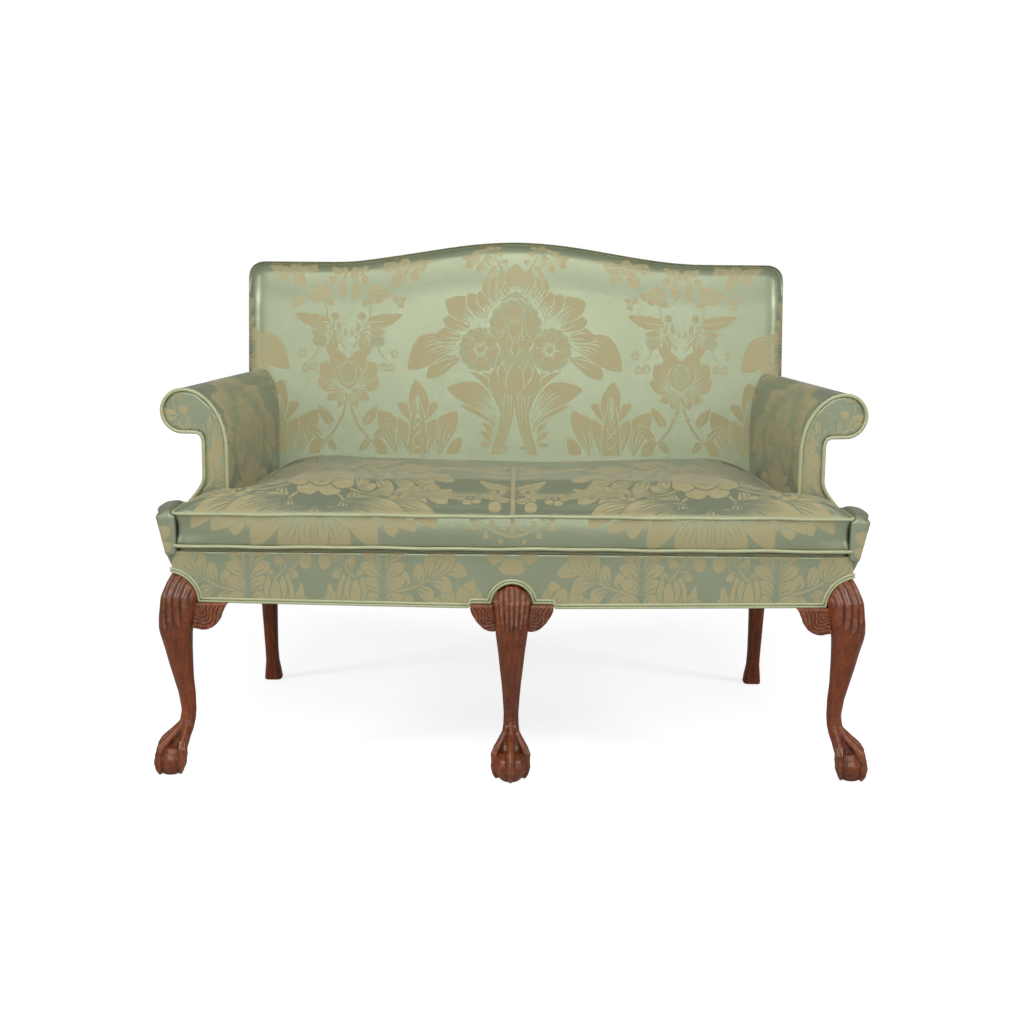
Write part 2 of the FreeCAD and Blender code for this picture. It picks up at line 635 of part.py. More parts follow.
def back_outline(inset, depth, bottom):
    """Outline of the back at a depth in its own plane: level shoulders, a serpentine rise, rounded corners."""
    half = BACK_HALF - inset
    shoulder = BACK_SHOULDER - inset
    r = max(BACK_CORNER - inset, 8.0)
    k = r * (1 - math.sqrt(0.5))
    count = 8
    crown = []
    for i in range(count + 1):
        x = CAMEL_HALF * (1 - 2 * i / count)
        crown.append(V(x, depth, shoulder + CAMEL_RISE * (1 + math.cos(math.pi * x / CAMEL_HALF)) / 2))
    spline = Part.BSplineCurve()
    spline.interpolate(Points=crown, InitialTangent=V(-1, 0, 0), FinalTangent=V(-1, 0, 0))
    side = [line(V(half, depth, bottom), V(half, depth, shoulder - r)),
            arc(V(half, depth, shoulder - r), V(half - k, depth, shoulder - k), V(half - r, depth, shoulder)),
            line(V(half - r, depth, shoulder), V(CAMEL_HALF, depth, shoulder))]
    edges = side + [spline.toShape()] + [mirrored(edge) for edge in reversed(side)]
    edges.append(line(V(-half, depth, bottom), V(half, depth, bottom)))
    return Part.Wire(Part.__sortEdges__(edges))


def frame_outline(bottom):
    """Outline of the wooden back frame, inside its padding."""
    count = 8
    shoulder = BACK_SHOULDER - CREST_COVER
    corner = FRAME_FRONT
    crown = []
    for i in range(count + 1):
        x = CAMEL_HALF * (1 - 2 * i / count)
        crown.append(V(x, FRAME_FRONT, shoulder + CAMEL_RISE * (1 + math.cos(math.pi * x / CAMEL_HALF)) / 2))
    spline = Part.BSplineCurve()
    spline.interpolate(Points=crown, InitialTangent=V(-1, 0, 0), FinalTangent=V(-1, 0, 0))
    right = [V(CAMEL_HALF, corner, shoulder), V(FRAME_HALF, corner, shoulder), V(FRAME_HALF, corner, bottom)]
    edges = [spline.toShape()]
    edges += [line(a, b) for a, b in zip(right, right[1:])]
    left = [V(-point.x, point.y, point.z) for point in right]
    edges += [line(a, b) for a, b in zip(left, left[1:])]
    edges.append(line(right[-1], left[-1]))
    return Part.Wire(Part.__sortEdges__(edges))


def crest_rail(stubs):
    rail = plate(frame_outline(CREST_BOTTOM), V(0, FRAME_BACK - FRAME_FRONT, 0))
    return lean(rail).cut(stubs)


def back_pad(holes):
    """Pad and inside cover, rolled over the crest and round the uprights to the back of the frame."""
    levels = PAD_EDGE + [(FRAME_BACK, 0.0)]
    outer = Part.makeLoft([back_outline(inset, depth, PAD_BOTTOM) for depth, inset in levels], True, True)
    low = PAD_BOTTOM - FRAME_SET_IN
    cavity = plate(frame_outline(low), V(0, FRAME_BACK - FRAME_FRONT, 0))
    front = plate(frame_outline(low), V(0, PAD_FRONT - FRAME_FRONT, 0))
    return lean(outer.cut([cavity, front])).cut(holes)


def outside_back():
    """Flat panel that closes the back from the crest down to the rail."""
    low = (RAIL_BOTTOM - DECK_LINE) / COS_RAKE
    half = SEAT_HALF_REAR - PANEL_FOOT_IN
    upper = plate(back_outline(PANEL_SET_IN, FRAME_BACK, 0.0), V(0, BACK_THICK - FRAME_BACK, 0))
    lower = Part.makeBox(2 * half, BACK_THICK - FRAME_BACK, -low, V(-half, FRAME_BACK, low))
    return lean(upper.fuse(lower).removeSplitter())


def back_webbing():
    straps = []
    for z in BACK_STRAP_Z:
        straps.append(back_box(-FRAME_HALF, FRAME_HALF, FRAME_FRONT - WEB_THICK, FRAME_FRONT, z, z + WEB_WIDTH))
    top = BACK_SHOULDER - CREST_COVER - STRAP_INSET
    for x in BACK_STRAP_X:
        straps.append(back_box(x - WEB_WIDTH / 2, x + WEB_WIDTH / 2,
                               FRAME_FRONT - 2 * WEB_THICK, FRAME_FRONT - WEB_THICK,
                               TACK_RAIL_LOW, top))
    return straps


def back_hessian():
    front = FRAME_FRONT - 2 * WEB_THICK
    return back_box(-FRAME_HALF + STRAP_INSET, FRAME_HALF - STRAP_INSET, front - HESSIAN_THICK, front,
                    TACK_RAIL_LOW, BACK_SHOULDER - CREST_COVER - FRAME_SET_IN)


def arm_side(sizes):
    """X of the side of the seat where a section of the arm stands on it."""
    return side_x(SIDE_BULGE[-1][0], sizes["y"])


def arm_inner(sizes):
    return arm_side(sizes) - sizes["neck_in"] - sizes["wall"]


class ArmSection:
    """Points of one upright section through the right arm, drawn in by an inset."""

    def __init__(self, sizes, y, inset=0.0):
        self.y = y
        self.inset = inset
        side = arm_side(sizes)
        self.inner = side - sizes["neck_in"] - sizes["wall"] + inset
        self.neck = side - sizes["neck_in"] - inset
        self.roll_x = side - sizes["roll_in"]
        self.roll_z = sizes["roll_z"]
        self.roll_r = sizes["roll_r"] - inset
        self.foot = side - inset
        overhang = max(0.0, self.neck + NECK_LEDGE + NECK_STEP - self.roll_x)
        self.roll_end = math.asin(overhang / self.roll_r)
        self.under = self.roll_z - self.roll_r * math.cos(self.roll_end)

    def at(self, x, z):
        return p(x, self.y, z)

    def inside(self, bottom):
        """Inner face, shoulder and roll, from the deck over the top to the ledge under the roll."""
        centre = self.at(self.roll_x, ARM_SHOULDER)
        top = self.at(self.roll_x, self.roll_z + self.roll_r)
        side = self.at(self.inner, ARM_SHOULDER)
        rise = top.z - centre.z
        reach = self.roll_x - self.inner
        points = []
        for step in range(5):
            angle = math.pi / 2 * step / 4
            points.append(self.at(self.roll_x - reach * math.cos(angle), ARM_SHOULDER + rise * math.sin(angle)))
        shoulder = Part.BSplineCurve()
        shoulder.interpolate(Points=points, InitialTangent=V(0, 0, 1), FinalTangent=V(1, 0, 0))
        middle = self.at(self.roll_x + self.roll_r * math.cos(self.roll_end / 2),
                         self.roll_z + self.roll_r * math.sin(self.roll_end / 2))
        end = self.at(self.roll_x + self.roll_r * math.sin(self.roll_end), self.under)
        return [line(self.at(self.inner, bottom), side),
                shoulder.toShape(),
                arc(top, middle, end),
                line(end, self.ledge())]

    def ledge(self):
        return self.at(self.neck + NECK_LEDGE, self.under)

    def outside(self):
        """Neck below the roll and the flare out to the side of the seat."""
        middle = (self.neck + self.foot) / 2
        quarter = (self.foot - self.neck) / 4
        low = self.under - NECK_FILLET
        upper = (FLARE_TOP + FLARE_MIDDLE) / 2
        lower = (FLARE_MIDDLE + FLARE_BOTTOM) / 2
        return [arc(self.ledge(), self.at(self.neck + 2.6, self.under - 6.5), self.at(self.neck, low)),
                line(self.at(self.neck, low), self.at(self.neck, FLARE_TOP)),
                arc(self.at(self.neck, FLARE_TOP), self.at(middle - 1.45 * quarter, upper - 3),
                    self.at(middle, FLARE_MIDDLE)),
                arc(self.at(middle, FLARE_MIDDLE), self.at(middle + 1.45 * quarter, lower + 3),
                    self.at(self.foot, FLARE_BOTTOM))]


def inside_points(section, bottom):
    return faceted(section.inside(bottom), [1, SHOULDER_FACETS, ROLL_FACETS, 1])


def outside_points(section):
    return faceted(section.outside(), [2, 1, FLARE_FACETS, FLARE_FACETS])


def arm_pad_section(sizes, y):
    section = ArmSection(sizes, y)
    back_x = section.inner + ARM_PAD_THICK
    return inside_points(section, ARM_BOTTOM) + [section.at(back_x, section.under), section.at(back_x, ARM_BOTTOM)]


def arm_outside_section(sizes, y):
    outer = ArmSection(sizes, y)
    inner = ArmSection(sizes, y, COVER_THICK)
    inner_points = outside_points(inner)[2:]
    return outside_points(outer) + inner_points[::-1] + [outer.at(inner.neck, outer.under)]


def facing_points(section, bottom):
    return inside_points(section, bottom) + outside_points(section)[1:]


def facing_outline(y, inset, bottom):
    """Scroll outline whose foot is tucked in behind the top of the side cover."""
    section = ArmSection(ARM_FRONT, y, inset)
    tuck = side_x(-COVER_THICK, ARM_FRONT_Y + ARM_POST_THICK) - FOOT_CLEARANCE
    return closed(facing_points(section, bottom) + [section.at(tuck, FLARE_BOTTOM), section.at(tuck, bottom)])


def arm_facing():
    y0 = ARM_FRONT_Y - FACING_THICK
    return plate(facing_outline(y0, PIPING, ARM_BOTTOM + FACING_LIFT), V(0, FACING_THICK, 0))


def arm_piping():
    """Cord round the facing, from the deck over the scroll and down to the ledge."""
    y0 = ARM_FRONT_Y - FACING_THICK - PIPING_PROUD
    outer = facing_points(ArmSection(ARM_FRONT, y0), ARM_BOTTOM + FACING_LIFT)
    inner = facing_points(ArmSection(ARM_FRONT, y0, PIPING), ARM_BOTTOM + FACING_LIFT)
    return plate(closed(outer + inner[::-1]), V(0, FACING_THICK + PIPING_PROUD, 0))


def arm_post():
    """Scroll board that stands on the side rail behind the facing."""
    board = plate(facing_outline(ARM_FRONT_Y, ARM_POST_INSET, ARM_BOTTOM), V(0, ARM_POST_THICK, 0))
    y1 = ARM_FRONT_Y + ARM_POST_THICK
    outer = side_x(-COVER_THICK, y1) - FOOT_CLEARANCE
    foot = box(arm_inner(ARM_FRONT) + ARM_POST_INSET, outer, ARM_FRONT_Y, y1, RAIL_TOP, ARM_BOTTOM + 1)
    return fused([board, foot])


def arm_bar(width, height, front_x, front_z, rear_x, rear_z):
    """Straight bar from the scroll board to the front of the back upright."""
    rings = []
    rear_y = SEAT_LENGTH + BACK_THICK + (rear_z - DECK_LINE) * SIN_RAKE
    for x, y, z in ((front_x, ARM_FRONT_Y + ARM_POST_THICK, front_z), (rear_x, rear_y, rear_z)):
        rings.append([p(x - width / 2, y, z - height / 2), p(x + width / 2, y, z - height / 2),
                      p(x + width / 2, y, z + height / 2), p(x - width / 2, y, z + height / 2)])
    behind = back_box(0, BEYOND, FRAME_FRONT, BEYOND, -BEYOND, BEYOND)
    return skin(rings).cut(behind)


def side_ledge():
    """Padded ledge in front of the arm: a lobed plan that leans inwards as it goes down, its top edge rounded."""
    rear = ARM_FRONT_Y - FACING_THICK - PIPING_PROUD
    shoulder = LEDGE_TOP - LEDGE_ROUND
    out = LEDGE_OUTER
    nose_x, nose_y = LEDGE_NOSE_SWELL
    heel_x, heel_y = LEDGE_HEEL_SWELL
    front = arc(p(LEDGE_INNER, LEDGE_FRONT, shoulder), p(out - nose_x, nose_y, shoulder),
                p(out, LEDGE_NOSE, shoulder))
    back = arc(p(out - 1, rear - LEDGE_HEEL, shoulder), p(out - heel_x, rear - heel_y, shoulder),
               p(out - LEDGE_HEEL_END, rear - 2, shoulder))
    points = faceted([front], [LEDGE_FACETS]) + faceted([back], [LEDGE_FACETS])
    inner = [p(LEDGE_REAR_X, rear, shoulder), p(LEDGE_REAR_X, rear - 3, shoulder),
             p(LEDGE_INNER - 5, rear - 7, shoulder), p(LEDGE_INNER, rear - 12, shoulder)]
    points += inner
    body = plate(closed(points), V(-LEDGE_LEAN, 0, FLARE_BOTTOM - shoulder))
    shrink = 1 - LEDGE_ROUND / (LEDGE_OUTER - LEDGE_INNER)
    middle = p(LEDGE_INNER, rear / 2, LEDGE_TOP)
    top = [V(middle.x + (point.x - middle.x) * shrink, middle.y + (point.y - middle.y) * shrink, LEDGE_TOP)
           for point in points]
    body = fused([body, skin([points, top])])
    inside = LEDGE_REAR_X - LEDGE_LEAN * 2
    space = inner + [p(LEDGE_INNER, -LEDGE_LEAN, shoulder), p(inside, -LEDGE_LEAN, shoulder),
                     p(inside, rear, shoulder)]
    cushion_space = plate(closed(space), V(0, 0, 2 * (LEDGE_TOP - FLARE_BOTTOM)))
    cushion_space.translate(V(0, 0, FLARE_BOTTOM - LEDGE_TOP))
    return body.cut(cushion_space)


def tee(front, ear_x, ear_y, main_front, main_rear, rear, z, r):
    """T-shaped outline: wide in front of the arms, then narrowing between them to the back."""
    right = [(ear_x, front), (ear_x, ear_y), (main_front, ear_y), (main_rear, rear)]
    hollow = [False, False, True, False]
    corners = right + [(-x, y) for x, y in reversed(right)]
    hollow = hollow + hollow[::-1]
    points = []
    for i, (x, y) in enumerate(corners):
        here = V(x, y, 0)
        to_before = (V(*corners[i - 1], 0) - here).normalize()
        to_after = (V(*corners[(i + 1) % len(corners)], 0) - here).normalize()
        half_angle = to_before.getAngle(to_after) / 2
        radius = r / 3 if hollow[i] else r
        centre = here + (to_before + to_after).normalize() * (radius / math.sin(half_angle))
        start = here + to_before * (radius / math.tan(half_angle)) - centre
        end = here + to_after * (radius / math.tan(half_angle)) - centre
        for step in range(CORNER_FACETS + 1):
            share = step / CORNER_FACETS
            spoke = start * (1 - share) + end * share
            point = centre + spoke.normalize() * radius
            points.append(p(point.x, point.y, z))
    return points


def inner_arm_x(y):
    """X of the inner face of the arm at y behind the face."""
    share = (y - ARM_FRONT_Y) / (ARM_REAR_Y - ARM_FRONT_Y)
    return arm_inner(ARM_FRONT) + (arm_inner(ARM_REAR) - arm_inner(ARM_FRONT)) * share


def cushion_level(z, inset, ear_inset, ear_back, r):
    rear = SEAT_LENGTH - BACK_CLEARANCE - inset
    front = CUSHION_FRONT + inset
    ear_y = CUSHION_EAR_DEPTH + ear_back
    main_front = inner_arm_x(ear_y) - ARM_CLEARANCE - inset
    main_rear = inner_arm_x(rear) - ARM_CLEARANCE - inset
    return tee(front, CUSHION_EAR - ear_inset, ear_y, main_front, main_rear, rear, z, r)


def cushion_form(i, settled=0.0):
    """Crowned, T-shaped cushion with drawn-in borders, all drawn in by i, its top settled by a little."""
    low, high = CUSHION_WELT_LOW, CUSHION_WELT_HIGH
    rise = CUSHION_TOP - high
    crown = high - i - settled
    levels = [(CUSHION_BOTTOM + i, 8 + i, 8 + i, -i, 20), (low + i / 2, i, i, -i, 14),
              (low + 20, 4 + i, 5 + i, -3 - i, 16), (high - 20, 4 + i, 5 + i, -3 - i, 16),
              (high - i / 2, i, i, -i, 14), (crown + 0.36 * rise, 12 + i, 15 + i, -4 - i, 14),
              (crown + 0.66 * rise, 30 + i, 40 + i, -6 - i, 12), (crown + 0.88 * rise, 50 + i, 74 + i, -6 - i, 10),
              (crown + rise, 74 + i, 128 + i, -6 - i, 6)]
    return skin([cushion_level(*level) for level in levels])


def cushion():
    """Case with its insert and the piping round its upper and lower seams."""
    outer = cushion_form(0.0)
    case = outer.cut(cushion_form(CASE_THICK))
    insert = cushion_form(CASE_THICK + SOFT_GAP, INSERT_SETTLED)
    piping = []
    for z in (CUSHION_WELT_LOW, CUSHION_WELT_HIGH):
        half = CUSHION_WELT / 2
        ring_out = plate(closed(cushion_level(z - half, -half, -half, half, 16)), V(0, 0, CUSHION_WELT))
        piping.append(ring_out.cut(outer))
    return case, insert, piping


def seat_strap_layers():
    """Webbing both ways over the rails."""
    straps = []
    rear = SEAT_LENGTH + FRAME_FRONT - 2
    layer = RAIL_TOP
    for i in range(SEAT_STRAP_COUNT):
        y = SEAT_STRAP_START + i * SEAT_STRAP_PITCH
        reach = side_x(-COVER_THICK - STRAP_INSET, y + WEB_WIDTH)
        straps.append(box(-reach, reach, y, y + WEB_WIDTH, layer, layer + WEB_THICK))
    layer += WEB_THICK
    for i in range(-SEAT_STRAP_SIDES, SEAT_STRAP_SIDES + 1):
        x = i * SEAT_STRAP_SPACING
        straps.append(box(x - WEB_WIDTH / 2, x + WEB_WIDTH / 2, COVER_THICK + STRAP_INSET, rear, layer,
                          layer + WEB_THICK))
    return straps


def seat_outline(front_y, front_x, rear_x, rear_y, z):
    return closed([p(front_x, front_y, z), p(rear_x, rear_y, z), p(-rear_x, rear_y, z), p(-front_x, front_y, z)])


def seat_hessian():
    z = RAIL_TOP + 2 * WEB_THICK
    rear = SEAT_LENGTH + FRAME_FRONT - HESSIAN_REAR
    front_x = side_x(-COVER_THICK - STRAP_INSET, 0) - HESSIAN_IN
    rear_x = side_x(-COVER_THICK - STRAP_INSET, rear) - HESSIAN_IN
    return plate(seat_outline(COVER_THICK + HESSIAN_FRONT, front_x, rear_x, rear, z), V(0, 0, HESSIAN_THICK))


def deck_pad():
    """Thin stuffed platform under the cushion, spreading out in front of the arms."""
    z = RAIL_TOP + 2 * WEB_THICK + HESSIAN_THICK
    rear = SEAT_LENGTH - DECK_REAR_GAP
    outline = tee(COVER_THICK, CUSHION_EAR - DECK_EAR_IN, CUSHION_EAR_DEPTH,
                  inner_arm_x(CUSHION_EAR_DEPTH) + DECK_TUCK, inner_arm_x(rear) + DECK_TUCK, rear, z, DECK_TUCK)
    return plate(closed(outline), V(0, 0, DECK_TOP - z)).cut([side_cover(), mirrored(side_cover())])


def bottom_cloth():
    """Black cloth tacked under the rails."""
    z = RAIL_BOTTOM - CLOTH_THICK
    y0 = COVER_THICK + RAIL_THICK
    rear = SEAT_LENGTH + FRAME_BACK * COS_RAKE - (DECK_LINE - RAIL_BOTTOM) * SIN_RAKE - CLOTH_TUCK
    front_x = side_x(-COVER_THICK - STRAP_INSET, y0)
    rear_x = side_x(-COVER_THICK - STRAP_INSET, rear)
    return plate(seat_outline(y0, front_x, rear_x, rear, z), V(0, 0, CLOTH_THICK))


def corner_blocks():
    """Glue blocks across the four corners of the seat frame."""
    blocks = []
    z0 = RAIL_TOP - BLOCK_TOP_GAP - BLOCK_HEIGHT
    corner_y = COVER_THICK + RAIL_THICK
    corner_x = side_x(-COVER_THICK - SIDE_RAIL_THICK, COVER_THICK + POST_SIZE)
    post = FRONT_POST_X
    reach = post - BLOCK_REACH
    side_y = COVER_THICK + POST_SIZE + BLOCK_BACK
    side_inner = side_x(-COVER_THICK - SIDE_RAIL_THICK, side_y)
    front = closed([p(post, corner_y, z0), p(reach, corner_y, z0), p(side_inner, side_y, z0),
                    p(corner_x, COVER_THICK + POST_SIZE, z0), p(post, COVER_THICK + POST_SIZE, z0)])
    blocks.append(plate(front, V(0, 0, BLOCK_HEIGHT)))
    inner = REAR_LEG_X - REAR_LEG_WIDTH / 2
    level = z0 + BLOCK_HEIGHT / 2
    rail_face = SEAT_LENGTH + FRAME_FRONT * COS_RAKE - (DECK_LINE - level) * SIN_RAKE
    leg_face = SEAT_LENGTH + REAR_LEG_FRONT * COS_RAKE - (DECK_LINE - level) * SIN_RAKE
    side_inner = side_x(-COVER_THICK - SIDE_RAIL_THICK, leg_face - BLOCK_REAR_BACK)
    rear = closed([p(inner, rail_face + 12, z0), p(inner - BLOCK_LEG, rail_face + 12, z0),
                   p(side_inner, leg_face - BLOCK_REAR_BACK, z0), p(side_inner - 3, leg_face - 5, z0),
                   p(inner, leg_face - 5, z0)])
    blocks.append(plate(rear, V(0, 0, BLOCK_HEIGHT)))
    return blocks


def ear(tip_x, top, direction, profile, y0):
    """Carved ear under the rail, from its tip in towards the knee, seen square to the rail."""
    curve = Part.BSplineCurve()
    curve.interpolate([V(tip_x + direction * reach, 0, top - drop) for reach, drop in profile])
    points = curve.toShape().discretize(EAR_FACETS + 1)
    points.append(V(points[-1].x, 0, top))
    return face_plate(closed(points), y0, y0 + EAR_THICK)


def main():
    os.makedirs("parts", exist_ok=True)

    rail = front_rail()
    export("front_seat_rail", [rail])
    right_rail = side_rail()
    export_pair("side_seat_rail", [right_rail])
    back_rail = back_seat_rail()
    export("back_seat_rail", [back_rail])
    export("seat_cross_rail", [cross_rail(rail, back_rail)])

    leg = corner_leg().cut([rail, right_rail])
    export_pair("front_leg", [leg])
    middle_leg = centre_leg()
    export("centre_front_leg", [middle_leg])

    front_ear = ear(SEAT_HALF_FRONT - CORNER_EAR_TIP, RAIL_BOTTOM, 1, CORNER_EAR, -EAR_PROUD)
    front_ear = front_ear.cut([leg, rail, front_cover(), front_welt()])
    side_ear = ear(-CORNER_EAR_TIP, RAIL_BOTTOM, 1, CORNER_EAR, 0)
    side_ear.translate(V(0, -FACE_Y, 0))
    side_ear.rotate(V(0, 0, 0), V(0, 0, 1), -90)
    side_ear.translate(V(EAR_PROUD - EAR_THICK, 0, 0))
    side_ear = to_side(side_ear).cut([leg, front_ear, right_rail])
    export_pair("leg_brackets", [front_ear, side_ear])
    centre_ear = ear(CENTRE_EAR_TIP, centre_notch_z(), -1, CENTRE_EAR, -EAR_PROUD - CENTRE_LEG_FORWARD / 2)
    centre_ear = centre_ear.cut([middle_leg, rail, front_cover(), front_welt()])
    export("centre_leg_brackets", [centre_ear, mirrored(centre_ear)])

    rear, upright, stub = rear_leg_and_upright()
    outside_panel = outside_back()
    rear = rear.cut([back_rail, right_rail, outside_panel])
    upright = upright.cut([back_rail])
    export_pair("rear_leg", [rear])
    export_pair("back_upright", [upright])
    crest = crest_rail([stub, mirrored(stub)])
    export("back_crest_rail", [crest])
    inner = REAR_LEG_X - REAR_LEG_WIDTH / 2
    tack_top = TACK_RAIL_LOW + TACK_RAIL_HEIGHT
    rail_back = FRAME_BACK - FRAME_SET_IN
    export("back_lower_rail", [back_box(-inner, inner, FRAME_FRONT, rail_back, TACK_RAIL_LOW, tack_top)])
    export("back_centre_upright", [back_box(-MUNTIN_HALF, MUNTIN_HALF, FRAME_FRONT, rail_back, tack_top,
                                            CREST_BOTTOM)])

    post = arm_post()
    export_pair("arm_front_post", [post])
    bar_front = arm_side(ARM_FRONT) - ARM_FRONT["roll_in"] - ARM_BAR_IN
    bar_rear = arm_side(ARM_REAR) - ARM_REAR["roll_in"] - ARM_BAR_IN
    top_bar = arm_bar(ARM_RAIL_WIDTH, ARM_RAIL_HEIGHT, bar_front, ARM_FRONT["roll_z"], bar_rear, ARM_REAR["roll_z"])
    export_pair("arm_top_rail", [top_bar])
    tack_front = arm_inner(ARM_FRONT) + ARM_PAD_THICK + ARM_TACK_WIDTH / 2
    tack_rear = arm_inner(ARM_REAR) + ARM_PAD_THICK + ARM_TACK_WIDTH / 2
    low_bar = arm_bar(ARM_TACK_WIDTH, ARM_TACK_HEIGHT, tack_front, ARM_TACK_Z, tack_rear, ARM_TACK_Z)
    export_pair("arm_lower_rail", [low_bar])
    bars = [top_bar, low_bar]
    both_bars = bars + [mirrored(bar) for bar in bars]

    blocks = [block.cut([rail, right_rail, leg, rear, back_rail, upright]) for block in corner_blocks()]
    export("corner_blocks", blocks + [mirrored(block) for block in blocks])

    posts = [post, mirrored(post)]
    uprights = [upright, mirrored(upright), rear, mirrored(rear)]
    export("seat_webbing", [strap.cut(posts) for strap in seat_strap_layers()])
    export("seat_hessian", [seat_hessian().cut(posts + uprights)])
    export("seat_deck_pad", [deck_pad().cut(posts + uprights)])
    export("bottom_cloth", [bottom_cloth().cut([leg, mirrored(leg), rear, mirrored(rear)]
                                               + [side_ear, mirrored(side_ear)])])

    export("back_webbing", [strap.cut(both_bars) for strap in back_webbing()])
    export("back_hessian", [back_hessian().cut(both_bars)])
    pad = back_pad(both_bars)
    export("back_pad", [pad])
    export("outside_back_panel", [outside_panel])

    arm_pad = skin([arm_pad_section(ARM_FRONT, ARM_FRONT_Y), arm_pad_section(ARM_REAR, ARM_REAR_Y)])
    behind_pad = back_box(0, BEYOND, PAD_FRONT - ARM_TUCK, BEYOND, -BEYOND, BEYOND)
    export_pair("arm_pad", [arm_pad.cut([post, pad, behind_pad] + bars)])
    outside = skin([arm_outside_section(ARM_FRONT, ARM_FRONT_Y), arm_outside_section(ARM_REAR, ARM_REAR_Y)])
    export_pair("arm_outside_panel", [outside.cut([post, pad, behind_pad] + bars)])
    export_pair("arm_facing", [arm_facing()])
    export_pair("arm_facing_piping", [arm_piping()])
    export_pair("side_ledge", [side_ledge()])

    export("front_rail_cover", [front_cover()])
    export_pair("side_rail_cover", [side_cover().cut([pad, outside_panel])])
    side_band = side_welt().cut(front_cover())
    export("rail_double_welt", [front_welt(), side_band, mirrored(side_band)])

    case, insert, piping = cushion()
    export("seat_cushion_case", [case])
    export("seat_cushion_insert", [insert])
    export("seat_cushion_piping", piping)


main()
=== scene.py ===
"""Looks of a camelback settee: damask upholstery, self piping, double welt and carved mahogany legs."""

import math

import bpy
import numpy as np
from mathutils import Matrix, Vector


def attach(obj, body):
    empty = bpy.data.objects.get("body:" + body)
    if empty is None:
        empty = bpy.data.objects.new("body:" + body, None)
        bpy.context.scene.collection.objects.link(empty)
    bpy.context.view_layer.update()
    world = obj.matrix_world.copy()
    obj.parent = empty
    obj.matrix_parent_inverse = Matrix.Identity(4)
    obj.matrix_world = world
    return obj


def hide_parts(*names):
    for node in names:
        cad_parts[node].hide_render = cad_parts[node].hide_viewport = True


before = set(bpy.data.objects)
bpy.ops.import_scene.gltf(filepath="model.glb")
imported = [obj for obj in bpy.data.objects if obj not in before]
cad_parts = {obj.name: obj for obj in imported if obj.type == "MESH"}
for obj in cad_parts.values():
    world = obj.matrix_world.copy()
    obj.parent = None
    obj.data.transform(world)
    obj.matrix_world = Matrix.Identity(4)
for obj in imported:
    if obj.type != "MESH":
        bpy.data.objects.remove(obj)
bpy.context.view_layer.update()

MM = 0.001
FACE_Y = -0.313603

# Fabric repeat: half its width, from the bouquet to the spray, and its height
HALF_REPEAT = 373.0
REPEAT_HEIGHT = 540.0

# Figure: depth of the ground away from any form, and the most that is left where a cut line may run
BARE = 12.0
UNCUT = 5.0

# Threads: one turn as the weave takes it, and the damask's pitch in metres
FULL_TURN = 6.2832
THREAD_PITCH = 0.0011

# Back: rake about the deck line, as the frame has it
DECK_Y = FACE_Y + 0.565
DECK_Z = 0.440
RAKE = math.radians(6.8)

# Cushion: heights of its two seams in millimetres; steps of its swelling and the most it may move in metres
SEAMS = (444.0, 506.0)
SWELL_FRAMES = 20
SWELL_CAP = 0.010

# Borders and arm front in millimetres: lower edge, arch over a corner knee, middle of the roll; turn of the sides
RAIL_EDGE = 327.0
KNEE_Z, KNEE_R = 334.0, 58.0
ROLL_X, ROLL_Z = 640.0, 686.0
SIDE_ANGLE = math.asin(55.0 / 618.0)

# Carving: how strongly the surface's own relief shows as wear on the proud places and as painted shade in the
# hollows
WEAR_AND_SHADE_GAIN = 2300.0


# -------- tools

def select_only(obj):
    bpy.ops.object.select_all(action="DESELECT")
    obj.select_set(True)
    bpy.context.view_layer.objects.active = obj


def edited(piece, operation, **settings):
    """Run one mesh operation on the whole of a piece."""
    select_only(piece)
    bpy.ops.object.mode_set(mode="EDIT")
    bpy.ops.mesh.select_all(action="SELECT")
    operation(**settings)
    bpy.ops.object.mode_set(mode="OBJECT")


def modified(piece, kind, **settings):
    """Put a modifier on a piece and apply it."""
    modifier = piece.modifiers.new(kind.lower(), kind)
    for name, value in settings.items():
        setattr(modifier, name, value)
    select_only(piece)
    bpy.ops.object.modifier_apply(modifier=modifier.name)


def remesh(piece, size):
    modified(piece, "REMESH", mode="VOXEL", voxel_size=size, adaptivity=0.0)


def soften(piece, turns):
    modified(piece, "SMOOTH", factor=0.5, iterations=turns)


def added(name, data):
    obj = bpy.data.objects.new(name, data)
    bpy.context.scene.collection.objects.link(obj)
    return obj


def copy_of(node, name):
    """A merged copy of one CAD solid's mesh, at the origin."""
    piece = added(name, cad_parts[node].data.copy())
    piece.data.materials.clear()
    edited(piece, bpy.ops.mesh.remove_doubles, threshold=0.00002)
    for layer in list(piece.data.uv_layers):
        piece.data.uv_layers.remove(layer)
    return piece


def joined(pieces, name):
    select_only(pieces[0])
    for piece in pieces:
        piece.select_set(True)
    bpy.ops.object.join()
    pieces[0].name = name
    return pieces[0]


def vectors(items, name):
    flat = np.empty(len(items) * 3, dtype=np.float32)
    items.foreach_get(name, flat)
    return flat.reshape(-1, 3)


def points_of(piece):
    return vectors(piece.data.vertices, "co").astype(np.float64)


def normals_of(piece):
    return vectors(piece.data.vertices, "normal").astype(np.float64)


def move_to(piece, points):
    piece.data.vertices.foreach_set("co", points.astype(np.float32).ravel())
    piece.data.update()


